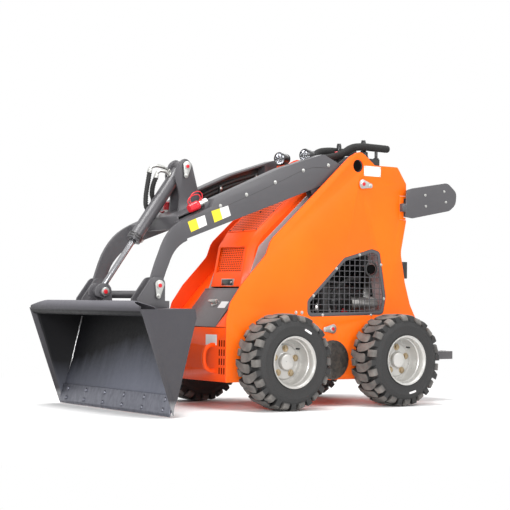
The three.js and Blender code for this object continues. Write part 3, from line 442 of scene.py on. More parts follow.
# %% Rubber
def rubber(name, dust_and_highlight):
    finish, tree, shader, coords = new_finish(name)
    fine = cloud(tree, coords, 160, 5, 0.7)
    broad = cloud(tree, coords, 14, 4)
    lug_top = tree.nodes.new("ShaderNodeAttribute")
    lug_top.attribute_name = "lug_top"
    patchy = ranged(tree, broad, 0.3, 0.62, 0.35, 1)
    amount = sums(tree, "MULTIPLY", lug_top.outputs["Fac"], patchy)
    plain = blended(tree, fine, (0.012, 0.012, 0.0125), (0.024, 0.0235, 0.023))
    tree.links.new(blended(tree, amount, plain, dust_and_highlight), shader.inputs["Base Color"])
    tree.links.new(ranged(tree, fine, 0.3, 0.7, 0.55, 0.85), shader.inputs["Roughness"])
    bumped(tree, shader, fine, 0.0006)
    return finish


# The grey on the lug tops is dried dust together with a painted highlight.
tyre_rubber = rubber("tyre_rubber", (0.170, 0.158, 0.146))
plain_rubber = rubber("plain_rubber", (0.05, 0.045, 0.04))
print("rubber finishes: 2")

# %% [markdown]
# Bare metals get their look from gloss rather than colour: zinc plate is mottled, chrome
# rods show fine rings left by grinding, castings are rough all over, and cut steel has
# streaks that run one way. The silencer is sooty towards its top.

# %% Metals
def bare_metal(name, colour, shade, gloss_low, gloss_high, grain, stretch=(1, 1, 1), depth=0.0001):
    finish, tree, shader, coords = new_finish(name)
    pattern = cloud(tree, stretched(tree, coords, stretch), grain, 5, 0.65)
    share = ranged(tree, pattern, 0.35, 0.7, 0, 1)
    tree.links.new(blended(tree, share, colour, shade), shader.inputs["Base Color"])
    tree.links.new(ranged(tree, pattern, 0.3, 0.7, gloss_low, gloss_high), shader.inputs["Roughness"])
    shader.inputs["Metallic"].default_value = 1.0
    bumped(tree, shader, pattern, depth)
    return finish


zinc = bare_metal("zinc_plate", (0.62, 0.62, 0.60), (0.45, 0.45, 0.43), 0.25, 0.45, 120)
chrome = bare_metal(
    "ground_chrome", (0.34, 0.34, 0.355), (0.32, 0.32, 0.335), 0.26, 0.30, 60, (1, 1, 3), 0.000001,
)
polished = bare_metal(
    "lamp_reflector", (0.95, 0.95, 0.96), (0.85, 0.85, 0.87), 0.05, 0.14, 140, depth=0.00003,
)
cast_iron = bare_metal("cast_iron", (0.10, 0.10, 0.10), (0.05, 0.05, 0.05), 0.55, 0.8, 90, depth=0.0008)
steel = bare_metal("plain_steel", (0.62, 0.61, 0.60), (0.48, 0.47, 0.45), 0.25, 0.45, 60, (1, 6, 6))
wear_steel = bare_metal(
    "wear_steel", (0.215, 0.22, 0.255), (0.165, 0.17, 0.20), 0.38, 0.55, 22, (1, 2, 1), 0.00012,
)
weld_bead = bare_metal("weld_bead", (0.62, 0.62, 0.63), (0.36, 0.35, 0.35), 0.25, 0.5, 180, depth=0.0006)
silencer = bare_metal("heat_stained_steel", (0.36, 0.35, 0.34), (0.14, 0.13, 0.12), 0.28, 0.5, 30)
stain = silencer.node_tree
stain_shader = stain.nodes["Principled BSDF"]
clean = stain_shader.inputs["Base Color"].links[0].from_socket
stain_split = stain.nodes.new("ShaderNodeSeparateXYZ")
stain_coords = next(node for node in stain.nodes if node.type == "TEX_COORD")
stain.links.new(stain_coords.outputs["Object"], stain_split.inputs["Vector"])
soot_share = ranged(stain, stain_split.outputs["Z"], 0.595, 0.66, 0, 1)
stain.links.new(blended(stain, soot_share, clean, (0.012, 0.010, 0.009)), stain_shader.inputs["Base Color"])
brass = bare_metal("brass", (0.46, 0.37, 0.24), (0.36, 0.28, 0.18), 0.3, 0.5, 120)
print("metal finishes: 9")

# %% [markdown]
# The rest are moulded or foamed: a soft black foam grip, glossy black lamp housings, red
# dust caps, clear lenses, and stickers that are left blank. A black that gives back almost
# no light is painted shade in deep holes and slots, and soot in the exhaust.

# %% Plastics, foam, glass and blank stickers
def moulded(name, colour, shade, gloss, grain=220, depth=0.00015):
    finish, tree, shader, coords = new_finish(name)
    pattern = cloud(tree, coords, grain, 4, 0.6)
    broad = cloud(tree, coords, 9, 3)
    tree.links.new(blended(tree, broad, colour, shade), shader.inputs["Base Color"])
    tree.links.new(ranged(tree, pattern, 0.3, 0.7, gloss - 0.06, gloss + 0.08), shader.inputs["Roughness"])
    bumped(tree, shader, pattern, depth)
    return finish


foam = moulded("foam_grip", (0.010, 0.010, 0.010), (0.020, 0.020, 0.020), 0.88, 600, 0.0009)
black_plastic = moulded("black_plastic", (0.012, 0.012, 0.013), (0.020, 0.020, 0.021), 0.30)
red_plastic = moulded("red_plastic", (0.62, 0.012, 0.022), (0.48, 0.008, 0.016), 0.32)
white_sticker = moulded("white_sticker", (0.74, 0.73, 0.73), (0.68, 0.67, 0.67), 0.4, 300, 0.00003)
# A near-lightless black: painted shade in deep holes and slots, and soot in the exhaust.
soot_and_shade_black = moulded("soot_and_shade_black", (0.003, 0.003, 0.003), (0.006, 0.006, 0.006), 0.9, 200, 0.0001)
soot_and_shade_black.node_tree.nodes["Principled BSDF"].inputs["Specular IOR Level"].default_value = 0.02
yellow_sticker = moulded("yellow_sticker", (0.74, 0.60, 0.03), (0.68, 0.55, 0.03), 0.4, 300, 0.00003)
dial_face = moulded("dial_face", (0.03, 0.035, 0.03), (0.05, 0.055, 0.05), 0.2, 300, 0.00002)
lens = moulded("clear_lens", (0.97, 0.98, 1.0), (0.93, 0.95, 0.98), 0.08, 90, 0.0001)
lens_shader = lens.node_tree.nodes["Principled BSDF"]
lens_shader.inputs["Transmission Weight"].default_value = 1.0
print("other finishes: 8")

# %% [markdown]
# Each sheet and casting in the frame is an exact solid with knife edges. Real pressed and
# welded steel has small rounded edges that catch the light. A copy of each solid is
# merged, cleaned of needless edges, given a narrow bevel and smoothed by angle, and then
# stands in for the bare one. The frame's own mesh is never touched.

# %% Rounded copies of the frame's solids
def make_active(piece):
    clear_selection()
    piece.select_set(True)
    bpy.context.view_layer.objects.active = piece


def rounded(piece, width, segments=2, angle=30):
    make_active(piece)
    bevel = piece.modifiers.new("rounding", "BEVEL")
    bevel.width = width
    bevel.segments = segments
    bevel.limit_method = "ANGLE"
    bevel.angle_limit = math.radians(angle)
    bevel.harden_normals = False
    bpy.ops.object.modifier_apply(modifier=bevel.name)
    bpy.ops.object.shade_smooth_by_angle(angle=math.radians(angle + 5))
    return piece


def refined(node, finish, width=0.0012, angle=30, segments=2):
    make_active(frame["nodes"][node])
    bpy.ops.object.duplicate()
    copy = bpy.context.active_object
    copy.name = node + "_skin"
    body = frame_body[node]
    copy.parent = None
    copy.data.materials.clear()
    copy.data.materials.append(finish)
    bpy.ops.object.mode_set(mode="EDIT")
    bpy.ops.mesh.select_all(action="SELECT")
    bpy.ops.mesh.remove_doubles(threshold=0.00001)
    bpy.ops.mesh.dissolve_limited(angle_limit=math.radians(0.5))
    bpy.ops.object.mode_set(mode="OBJECT")
    rounded(copy, width, segments, angle)
    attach(copy, body)
    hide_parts(node)
    return copy


frame_body = {}
for body, nodes in frame["record"]["behaviour"]["bodies"].items():
    for node in nodes:
        frame_body[node] = body
frame_slot = {row["node"]: row["material_slot"] for row in frame["record"]["subparts"]}

SKINS = {
    "side_panel_left": (orange_paint, 0.0015), "side_panel_right": (orange_paint, 0.0015),
    "belly_pan": (shaded_orange_paint, 0.0015), "hood": (shaded_orange_paint, 0.003),
    "front_plate": (shaded_orange_paint, 0.0015), "slot_floor_left": (shaded_orange_paint, 0.001),
    "slot_floor_right": (shaded_orange_paint, 0.001),
    "inner_plate_left": (lit_tower_grey, 0.001), "inner_plate_right": (lit_tower_grey, 0.001),
    "front_lid": (lit_lid_grey, 0.0015), "operator_platform": (grey_paint, 0.002),
    "boom_arm_left": (grey_paint, 0.002), "boom_arm_right": (grey_paint, 0.002),
    "boom_crossmember": (grey_paint, 0.002), "attach_frame": (grey_paint, 0.002),
    "service_cover_left": (black_paint, 0.0015), "service_cover_right": (black_paint, 0.0015),
    "lift_barrel_left": (black_paint, 0.001), "lift_barrel_right": (black_paint, 0.001),
    "tilt_barrel": (grey_paint, 0.001),
    "lift_rod_left": (chrome, 0.0006), "lift_rod_right": (chrome, 0.0006),
    "hip_pad_left": (grey_paint, 0.003), "hip_pad_right": (grey_paint, 0.003),
    "front_axle": (cast_iron, 0.003), "rear_axle": (cast_iron, 0.003),
    "engine_block": (cast_iron, 0.004), "muffler": (silencer, 0.003),
    "dash_and_levers": (black_paint, 0.0012), "cutting_edge": (wear_steel, 0.0015),
}
skins = {node: refined(node, finish, width) for node, (finish, width) in SKINS.items()}
print("rounded copies:", len(skins), "faces:", sum(len(s.data.polygons) for s in skins.values()))

# %% [markdown]
# New pieces begin as a primitive at its place. Three kinds come up again and again: a
# block, a round bar between two points, and a flat plate cut to an outline. The plate
# starts as a circle with one corner for each corner of the outline; every corner is moved
# to its place, the ring is filled and the face is pushed out to the plate's thickness.

# %% Blocks, bars and plates
def finished(name, finish, edge, angle=30):
    piece = bpy.context.active_object
    if piece.mode != "OBJECT":
        bpy.ops.object.mode_set(mode="OBJECT")
    bpy.ops.object.transform_apply(location=True, rotation=True, scale=True)
    piece.name = name
    piece.data.name = name
    piece.data.materials.clear()
    piece.data.materials.append(finish)
    if edge > 0:
        rounded(piece, edge, 2, angle)
    return piece


def block(name, low, high, finish, edge=0.0015):
    clear_selection()
    low, high = Vector(low), Vector(high)
    bpy.ops.mesh.primitive_cube_add(size=1, location=(low + high) / 2, scale=high - low)
    return finished(name, finish, edge)


def bar(name, a, b, radius, finish, edge=0.001, sides=32, tip=None):
    clear_selection()
    a, b = Vector(a), Vector(b)
    facing = (b - a).to_track_quat("Z", "Y").to_euler()
    bpy.ops.mesh.primitive_cone_add(
        vertices=sides, radius1=radius, radius2=radius if tip is None else tip,
        depth=(b - a).length, location=(a + b) / 2, rotation=facing,
    )
    return finished(name, finish, edge)


def cut_plate(name, corners, push, finish, edge=0.0008):
    clear_selection()
    bpy.ops.mesh.primitive_circle_add(vertices=len(corners), radius=1)
    ring = bpy.context.active_object
    for vertex, corner in zip(ring.data.vertices, corners):
        vertex.co = corner
    bpy.ops.object.mode_set(mode="EDIT")
    bpy.ops.mesh.select_all(action="SELECT")
    bpy.ops.mesh.edge_face_add()
    bpy.ops.mesh.extrude_region_move(TRANSFORM_OT_translate={"value": Vector(push)})
    bpy.ops.mesh.select_all(action="SELECT")
    bpy.ops.mesh.normals_make_consistent(inside=False)
    return finished(name, finish, edge)


def oblong(half_width, half_height):
    """The four corners of a flat oblong, in order round its edge."""
    w, h = half_width, half_height
    return [(-w, -h), (w, -h), (w, h), (-w, h)]


def round_outline(corners, steps=6):
    """Corners are (a, b, radius) in a flat plane; returns the rounded outline's points."""
    points = []
    count = len(corners)
    for i, (a, b, radius) in enumerate(corners):
        here = Vector((a, b))
        back = (Vector(corners[i - 1][:2]) - here).normalized()
        ahead = (Vector(corners[(i + 1) % count][:2]) - here).normalized()
        if radius <= 0:
            points.append(here)
            continue
        half = back.angle(ahead) / 2
        start = here + back * (radius / math.tan(half))
        end = here + ahead * (radius / math.tan(half))
        centre = here + (back + ahead).normalized() * (radius / math.sin(half))
        first = math.atan2(*(start - centre).yx)
        sweep = math.atan2(*(end - centre).yx) - first
        sweep = (sweep + math.pi) % (2 * math.pi) - math.pi
        for k in range(steps + 1):
            angle = first + sweep * k / steps
            points.append(centre + radius * Vector((math.cos(angle), math.sin(angle))))
    return points


print("block, bar and cut_plate are ready")

# %% [markdown]
# Rims, lamps and knobs are turned shapes: half a section, swept once round an axis with
# the spin tool. Hoses are smooth curves given a thickness and made a mesh.

# %% Turning and hoses
def turned(name, profile, centre, axis, finish, steps=64, edge=0.0):
    """Profile is a closed ring of (radius, distance along the axis)."""
    clear_selection()
    axis = Vector(axis).normalized()
    outwards = axis.orthogonal().normalized()
    centre = Vector(centre)
    bpy.ops.mesh.primitive_circle_add(vertices=len(profile), radius=1)
    ring = bpy.context.active_object
    for vertex, (radius, along) in zip(ring.data.vertices, profile):
        vertex.co = centre + outwards * radius + axis * along
    bpy.ops.object.mode_set(mode="EDIT")
    bpy.ops.mesh.select_all(action="SELECT")
    bpy.ops.mesh.spin(steps=steps, angle=2 * math.pi, center=centre, axis=axis)
    bpy.ops.mesh.select_all(action="SELECT")
    bpy.ops.mesh.remove_doubles(threshold=0.00002)
    bpy.ops.mesh.normals_make_consistent(inside=False)
    piece = finished(name, finish, edge)
    bpy.ops.object.shade_smooth_by_angle(angle=math.radians(35))
    return piece


def hose(name, points, radius, finish, sides=6, smooth=12):
    clear_selection()
    bpy.ops.curve.primitive_bezier_curve_add()
    line = bpy.context.active_object
    spline = line.data.splines[0]
    spline.bezier_points.add(len(points) - 2)
    for knot, point in zip(spline.bezier_points, points):
        knot.co = point
        knot.handle_left_type = knot.handle_right_type = "AUTO"
    line.location = (0, 0, 0)
    line.data.resolution_u = smooth
    line.data.bevel_depth = radius
    line.data.bevel_resolution = sides
    line.data.use_fill_caps = True
    bpy.ops.object.convert(target="MESH")
    piece = finished(name, finish, 0)
    bpy.ops.object.mode_set(mode="EDIT")
    bpy.ops.mesh.select_all(action="SELECT")
    bpy.ops.mesh.remove_doubles(threshold=0.00002)
    bpy.ops.mesh.normals_make_consistent(inside=False)
    bpy.ops.object.mode_set(mode="OBJECT")
    bpy.ops.object.shade_smooth_by_angle(angle=math.radians(50))
    return piece


print("turned and hose are ready")

# %% [markdown]
# Repeated bits are modelled once, then copied and moved, and bits that sit together are
# joined. A finished piece is tied to the body it rides on, and the frame parts it stands
# in for are hidden.

# %% Copies, joining and fitting
def copied(piece, name, move):
    make_active(piece)
    bpy.ops.object.duplicate()
    copy = bpy.context.active_object
    copy.name = name
    copy.data.name = name
    move = Matrix.Translation(move) if isinstance(move, Vector) else move
    copy.data.transform(move)
    if move.determinant() < 0:
        bpy.ops.object.mode_set(mode="EDIT")
        bpy.ops.mesh.select_all(action="SELECT")
        bpy.ops.mesh.flip_normals()
        bpy.ops.object.mode_set(mode="OBJECT")
    return copy


def joined(name, pieces):
    clear_selection()
    for piece in pieces:
        piece.select_set(True)
    bpy.context.view_layer.objects.active = pieces[0]
    if len(pieces) > 1:
        bpy.ops.object.join()
    whole = bpy.context.active_object
    whole.name = name
    whole.data.name = name
    return whole


def fitted(piece, body, slot_name, *nodes):
    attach(piece, body)
    if nodes:
        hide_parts(*nodes)
    return piece


OTHER_SIDE = Matrix.Scale(-1, 4, Vector((0, 1, 0)))
SIDES = ((1, "left"), (-1, "right"))
print("copied, joined and fitted are ready")

# %% [markdown]
# The tyre's body is turned from its half section: bead, bulging sidewall with two raised
# rings, shoulder and a crowned tread floor. It sits a lug's height below the full radius.

# %% Tyre body
LUGS_PER_SIDE = 14
TREAD_FLOOR = 0.229
WHEEL_Y = 0.417

tyre_half = [
    (0.1275, 0.082), (0.134, 0.091), (0.146, 0.0945), (0.150, 0.0955), (0.153, 0.0942),
    (0.170, 0.0975), (0.185, 0.0985), (0.1885, 0.0998), (0.192, 0.0985), (0.203, 0.0955),
    (0.213, 0.0905), (0.2205, 0.083), (0.2255, 0.070), (0.2285, 0.045), (0.230, 0.015),
]
tyre_section = [(r, -y) for r, y in tyre_half] + [(r, y) for r, y in reversed(tyre_half)]
wheel_centre = Vector((front_axle.x, WHEEL_Y, front_axle.z))
tyre_body = turned("tyre_body", tyre_section, wheel_centre, (0, 1, 0), tyre_rubber, 96)
print("tyre body faces:", len(tyre_body.data.polygons))

# %% [markdown]
# A lug is a long fat bar. Its round nose lies just past the tread's middle, and it curves
# up to its own shoulder like half a smile while it narrows. The bar begins as a grid: one
# direction runs along the lug and the other across it. The table gives both edges of the
# bar, seen from above: distance across the tread, lower edge and upper edge.

# %% One lug
LUG_STEP = 2 * math.pi / LUGS_PER_SIDE
LUG_EDGES = [
    (-0.038, 0.014, 0.036), (-0.033, 0.004, 0.046), (-0.024, 0.000, 0.049), (-0.005, 0.000, 0.049),
    (0.020, 0.003, 0.050), (0.040, 0.010, 0.055), (0.060, 0.021, 0.062), (0.076, 0.032, 0.068),
    (0.0875, 0.041, 0.072),
]
ACROSS_LUG = [
    (-1.10, 1.0, 0.0), (-1.03, 0.16, 0.0), (-1.0, 0.05, 0.7), (-0.93, 0.0, 1.0), (-0.4, 0.0, 1.0),
    (0.4, 0.0, 1.0), (0.93, 0.0, 1.0), (1.0, 0.05, 0.7), (1.03, 0.16, 0.0), (1.10, 1.0, 0.0),
]
ALONG_LUG = [(-0.0045, 1.0, 0.0), (-0.0015, 0.16, 0.0), (0.0, 0.05, 0.7)]
LUG_FLOOR = TREAD_FLOOR - 0.010


def crown(y):
    return TYRE_RADIUS - 0.0014 - 0.55 * y * y


def lug_rows():
    """Rows along the lug: edges at that row, how far down it lies, and how much it counts as top."""
    first, last = LUG_EDGES[0], LUG_EDGES[-1]
    rows = [((first[0] + out, *first[1:]), depth, lug_top) for out, depth, lug_top in ALONG_LUG]
    rows += [(edges, 0.0, 1.0) for edges in LUG_EDGES[1:-1]]
    rows += [((last[0] - out, *last[1:]), depth * 1.25, lug_top) for out, depth, lug_top in reversed(ALONG_LUG)]
    return rows


def lug_piece(name, start):
    rows = lug_rows()
    clear_selection()
    bpy.ops.mesh.primitive_grid_add(x_subdivisions=len(rows) - 1, y_subdivisions=len(ACROSS_LUG) - 1)
    piece = bpy.context.active_object
    places = sorted({round(v.co.x, 4) for v in piece.data.vertices})
    widths = sorted({round(v.co.y, 4) for v in piece.data.vertices})
    lug_tops = []
    for vertex in piece.data.vertices:
        (y, low, high), row_depth, row_top = rows[places.index(round(vertex.co.x, 4))]
        share, depth, lug_top = ACROSS_LUG[widths.index(round(vertex.co.y, 4))]
        top = crown(y)
        radius = top - (top - LUG_FLOOR) * max(depth, row_depth)
        angle = start + ((low + high) / 2 + share * (high - low) / 2) / TYRE_RADIUS
        vertex.co = wheel_centre + Vector((radius * math.cos(angle), y, radius * math.sin(angle)))
        lug_tops.append(min(lug_top, row_top))
    piece.data.attributes.new("lug_top", "FLOAT", "POINT").data.foreach_set("value", lug_tops)
    bpy.ops.object.mode_set(mode="EDIT")
    bpy.ops.mesh.select_all(action="SELECT")
    bpy.ops.mesh.fill_holes(sides=0)
    bpy.ops.mesh.select_all(action="SELECT")
    bpy.ops.mesh.normals_make_consistent(inside=False)
    return finished(name, tyre_rubber, 0)


first_lug = lug_piece("lug", 0)
print("lug corners:", len(first_lug.data.vertices))

# %% [markdown]
# Opposite each nose the other shoulder has a short block, a little lower, whose top leans
# down over the shoulder. One lug and one block are turned round the wheel, mirrored and
# shifted half a step for the other half of the tread, and joined to the tyre's body. A
# small blank label sits on the sidewall. The other three tyres are copies of this one.

# %% Shoulder block and the whole tyre
BLOCK_MIDDLE = 0.110
BLOCK_LENGTH = 0.038
block_start = (BLOCK_MIDDLE - BLOCK_LENGTH / 2) / TYRE_RADIUS
block_profile = [
    (0.054, -0.006), (0.074, -0.008), (0.0885, -0.015), (0.0975, -0.036), (0.088, -0.048), (0.054, -0.036),
]
block_ring = []
for y, rise in block_profile:
    radius = TYRE_RADIUS + rise
    corner = Vector((radius * math.cos(block_start), y, radius * math.sin(block_start)))
    block_ring.append(wheel_centre + corner)
block_push = Vector((-math.sin(block_start), 0, math.cos(block_start))) * BLOCK_LENGTH
shoulder_block = cut_plate("shoulder_block", block_ring, block_push, tyre_rubber, 0.0025)
block_tops = []
for vertex in shoulder_block.data.vertices:
    height = ((vertex.co - wheel_centre).xz.length - 0.214) / 0.012
    block_tops.append(min(1.0, max(0.0, height)))
shoulder_block.data.attributes.new("lug_top", "FLOAT", "POINT").data.foreach_set("value", block_tops)


def round_wheel(angle, mirror):
    to_centre = Matrix.Translation(wheel_centre)
    spin = Matrix.Rotation(-angle, 4, "Y")
    flip = OTHER_SIDE if mirror else Matrix.Identity(4)
    return to_centre @ spin @ flip @ to_centre.inverted()


tyre_parts = [tyre_body]
for i in range(LUGS_PER_SIDE):
    for mirror in (False, True):
        move = round_wheel((i + 0.5 * mirror) * LUG_STEP, mirror)
        tyre_parts.append(copied(first_lug, "lug_copy", move))
        tyre_parts.append(copied(shoulder_block, "block_copy", move))
bpy.data.objects.remove(first_lug)
bpy.data.objects.remove(shoulder_block)
tyre = joined("tyre_front_left_skin", tyre_parts)
make_active(tyre)
bpy.ops.object.shade_smooth_by_angle(angle=math.radians(38))
label_turn = math.radians(117.5)
label_way = Vector((math.cos(label_turn), 0, math.sin(label_turn)))
label_along = Vector((-label_way.z, 0, label_way.x))
label_spot = wheel_centre + label_way * 0.180 + Vector((0, 0.0985, 0))
label_ring = [label_spot + label_along * a + label_way * b for a, b in oblong(0.024, 0.006)]
label = cut_plate("label", label_ring, Vector((0, -0.004, 0)), white_sticker, 0)
tyre = joined("tyre_front_left_skin", [tyre, label])
print("tyre faces:", len(tyre.data.polygons))

# %% [markdown]
# The rim is a deep dish: a rolled flange, a stepped barrel and, far inside, a dished
# centre with five studs round a domed hub. Barrel and centre are turned in one sweep.

# %% Rim
DISC_Y = 0.006
rim_section = [
    (0.0, DISC_Y), (0.052, DISC_Y), (0.088, DISC_Y - 0.002), (0.096, DISC_Y - 0.010),
    (0.110, DISC_Y - 0.012), (0.1145, DISC_Y - 0.004), (0.1155, 0.030), (0.1175, 0.052),
    (0.1215, 0.056), (0.1225, 0.078), (0.125, 0.086), (0.1315, 0.0885), (0.1345, 0.092),
    (0.1365, 0.097), (0.1355, 0.0995), (0.132, 0.0995), (0.1345, 0.0985), (0.1362, 0.0955),
    (0.134, 0.0900), (0.1275, 0.084), (0.1268, 0.0), (0.1268, -0.082), (0.1355, -0.090),
    (0.1355, -0.097), (0.131, -0.097), (0.121, -0.082), (0.119, -0.03), (0.110, DISC_Y - 0.018),
    (0.088, DISC_Y - 0.010), (0.0, DISC_Y - 0.008),
]
rim = turned("rim_front_left_skin", rim_section, wheel_centre, (0, 1, 0), rim_paint, 96)
hub = turned("hub", [
    (0.0, DISC_Y + 0.030), (0.030, DISC_Y + 0.029), (0.040, DISC_Y + 0.025), (0.044, DISC_Y + 0.016),
    (0.046, DISC_Y + 0.004), (0.052, DISC_Y + 0.002), (0.052, DISC_Y - 0.004), (0.0, DISC_Y - 0.004),
], wheel_centre, (0, 1, 0), rim_paint, 48)
print("rim faces:", len(rim.data.polygons))

# %% [markdown]
# Bolt heads are everywhere on such a machine, so one function makes any of them: a washer,
# a six-sided head with a chamfer, and the end of its thread.

# %% Bolts and studs
def bolt(name, foot, way, size, finish=None):
    finish = finish or zinc
    foot, way = Vector(foot), Vector(way).normalized()
    washer = bar(
        name, foot - way * size * 0.1, foot + way * size * 0.16, size * 1.25, finish, size * 0.05, 24,
    )
    head = bar(name, foot + way * size * 0.1, foot + way * size * 0.78, size * 0.95, finish, size * 0.12, 6)
    thread = bar(
        name, foot + way * size * 0.6, foot + way * size * 0.95, size * 0.45, finish, size * 0.08, 16,
    )
    return joined(name, [washer, head, thread])


STUD_CIRCLE = 0.070
stud_spot = wheel_centre + Vector((STUD_CIRCLE, DISC_Y, 0))
stud = bolt("stud", stud_spot, (0, 1, 0), 0.0145, brass)
studs = [copied(stud, "stud_copy", round_wheel(math.radians(20 + 72 * i), False)) for i in range(5)]
valve_spot = wheel_centre + Vector((0, DISC_Y, 0)) + 0.100 * Vector((math.cos(2.4), 0, math.sin(2.4)))
valve = bar("valve", valve_spot, valve_spot + Vector((0, 0.028, 0)), 0.004, plain_rubber, 0.001, 16)
bpy.data.objects.remove(stud)
rim = joined("rim_front_left_skin", [rim, hub, *studs, valve])
print("studs per rim:", len(studs))

# %% [markdown]
# The rear wheels are plain copies, moved back by the wheelbase. The right-hand ones are
# mirrored, so that their dished sides also face away from the machine. The rear left tyre
# is also turned round its own rim, which brings its label down near the ground.

# %% Four wheels
REAR_TYRE_TURN = math.radians(139)
to_rear = Matrix.Translation(Vector((rear_axle.x - front_axle.x, 0, 0)))
wheels = {
    "front_left": (Matrix.Identity(4), 0),
    "rear_left": (to_rear, REAR_TYRE_TURN),
    "front_right": (OTHER_SIDE, 0),
    "rear_right": (OTHER_SIDE @ to_rear, 0),
}
for corner, (move, tyre_turn) in wheels.items():
    if corner != "front_left":
        tyre_move = move @ round_wheel(tyre_turn, False) if tyre_turn else move
        wheel_rim = copied(rim, f"rim_{corner}_skin", move)
        wheel_tyre = copied(tyre, f"tyre_{corner}_skin", tyre_move)
    else:
        wheel_rim, wheel_tyre = rim, tyre
    fitted(wheel_rim, "wheel_" + corner, "rim_paint", "rim_" + corner)
    fitted(wheel_tyre, "wheel_" + corner, "tyre_rubber", "tyre_" + corner)
print("wheels dressed:", len(wheels))


# %% [markdown]
# The bucket is the nearest and largest thing to look at. Its shell gets its own darker
# grey. Along the inside, where floor and back meet the sides, runs a bright weld bead, and
# two rows of bolts hold the cutting edge.

# %% Bucket
BUCKET_INSIDE = 0.5645
refined("bucket_shell", bucket_paint, 0.0015)
floor_line = [(1.044, 0.478), (1.092, 0.284), (1.137, 0.104)]
back_line = [(1.052, 0.518), (1.150, 0.517), (1.300, 0.516)]
for side, hand in SIDES:
    beads = []
    for line in (floor_line, back_line):
        knots = [place(x, side * BUCKET_INSIDE, z) for x, z in line]
        beads.append(hose("bead", knots, 0.0042, weld_bead, 3, 16))
    for bead in beads:
        for i, vertex in enumerate(bead.data.vertices):
            vertex.co += Vector((0, 0.0008 * math.sin(i * 1.7), 0))
    fitted(joined("bucket_weld_" + hand, beads), "bucket", "edge_steel")

floor_way = Vector((0.132, 0, -0.480)).normalized()
floor_up = Vector((0.480, 0, 0.132)).normalized()
edge_top = place(1.164, 0, 0.004) + floor_up * 0.0163
edge_bolts = []
for row, back in enumerate((0.030, 0.082)):
    for i in range(6):
        foot = edge_top - floor_way * back + Vector((0, -0.50 + 0.2 * i, 0))
        edge_bolts.append(bar(
            "edge_bolt", foot - floor_up * 0.001, foot + floor_up * 0.006, 0.013, wear_steel, 0.0022, 28,
            0.0095,
        ))
fitted(joined("cutting_edge_bolts", edge_bolts), "bucket", "edge_steel")
print("bolts in the cutting edge:", len(edge_bolts))

# %% [markdown]
# Each big pin is kept in place by a flat drop-shaped plate with one bolt at its narrow
# end, and shows a greased red spot at its middle. One function makes a keeper for any pin.
# The pin at the tilt cylinder's foot has a round head with a washer and a red spot at each
# end instead, and a thin black disc in each side of the tower fills its round hole with
# painted shade.

# %% Pin keepers
FOOT_PIN_END = 0.0600
TOWER_HOLE = (-0.207, 1.327)


def keeper(name, pin, side, point, body, size=1.0):
    """Pin is the outer end of the pin; point is the direction of the narrow end in XZ."""
    pin = Vector(pin)
    way = Vector((point[0], 0, point[1])).normalized()
    beside = Vector((0, 1, 0)).cross(way)
    out = Vector((0, side, 0))
    head, tail, reach = 0.0235 * size, 0.0115 * size, 0.043 * size
    lean = math.asin((head - tail) / reach)
    ring = []
    for centre, radius, first, last in (
        (pin, head, 90 + math.degrees(lean), 270 - math.degrees(lean)),
        (pin + way * reach, tail, -90 - math.degrees(lean), 90 + math.degrees(lean)),
    ):
        for k in range(15):
            angle = math.radians(first + (last - first) * k / 14)
            ring.append(centre + way * radius * math.cos(angle) + beside * radius * math.sin(angle))
    plate = cut_plate(name, ring, out * 0.0055, zinc, 0.001)
    end = bar("pin_end", pin + out * 0.004, pin + out * 0.0085, 0.0145 * size, steel, 0.0015, 32)
    spot = bar("grease_spot", pin + out * 0.0075, pin + out * 0.0110, 0.0088 * size, red_plastic, 0.0015, 24)
    screw = bolt("keeper_bolt", pin + way * reach + out * 0.005, out, 0.0072 * size)
    return fitted(joined(name, [plate, end, spot, screw]), body, "chrome_rod")


for side, hand in SIDES:
    keeper("boom_pin_keeper_" + hand, place(-0.242, side * 0.294, 1.225), side, (-1, -0.12), "chassis", 1.2)
    keeper("lift_pin_keeper_" + hand, place(-0.032, side * 0.294, 0.422), side, (1, -0.05), "chassis", 1.15)
    keeper("bucket_pin_keeper_" + hand, place(1.094, side * 0.330, 0.641), side, (0.12, -1), "bucket", 1.2)
    keeper("tilt_pin_keeper_" + hand, place(0.769, side * 0.060, 1.277), side, (0.12, -1), "boom", 1.15)
for side, hand in SIDES:
    hole_x, hole_z = TOWER_HOLE
    ends = [place(hole_x, side * y, hole_z) for y in (0.2798, 0.2810)]
    # A black disc deep in the hole is painted shade.
    dark = bar("hole_shade", *ends, 0.031, soot_and_shade_black, 0, 40)
    fitted(joined("panel_hole_shade_" + hand, [dark]), "chassis", "black_plastic")
foot_pin = place(1.249, 0, 0.609)
foot_caps = []
for side in (1, -1):
    out = Vector((0, side, 0))
    end = foot_pin + out * FOOT_PIN_END
    foot_caps.append(bar("pin_head", foot_pin + out * 0.0415, end, 0.0250, grey_paint, 0.0015, 40))
    foot_caps.append(bar("washer", end - out * 0.001, end + out * 0.003, 0.0225, zinc, 0.001, 40))
    foot_caps.append(
        bar("grease_spot", end + out * 0.002, end + out * 0.006, 0.0115, red_plastic, 0.0015, 28)
    )
fitted(joined("tilt_foot_caps", foot_caps), "bucket", "chrome_rod")
print("pin keepers: 8")

# %% [markdown]
# Over the engine the side window is filled with a mesh of crossing wires inside a flat
# frame. Three helpers do the flat work: one moves an outline inwards, one finds where a
# straight wire enters and leaves it, and one makes a flat ring between two outlines.

# %% Helpers for the window
WINDOW = [(0.136, 0.487), (0.136, 0.575), (-0.062, 0.761), (-0.115, 0.812), (-0.313, 0.867),
          (-0.372, 0.853), (-0.418, 0.600), (-0.400, 0.500)]
WINDOW_ROUND = [0.030, 0.030, 0.020, 0.025, 0.025, 0.025, 0.025, 0.030]
EXHAUST = (-0.314, 0.755)


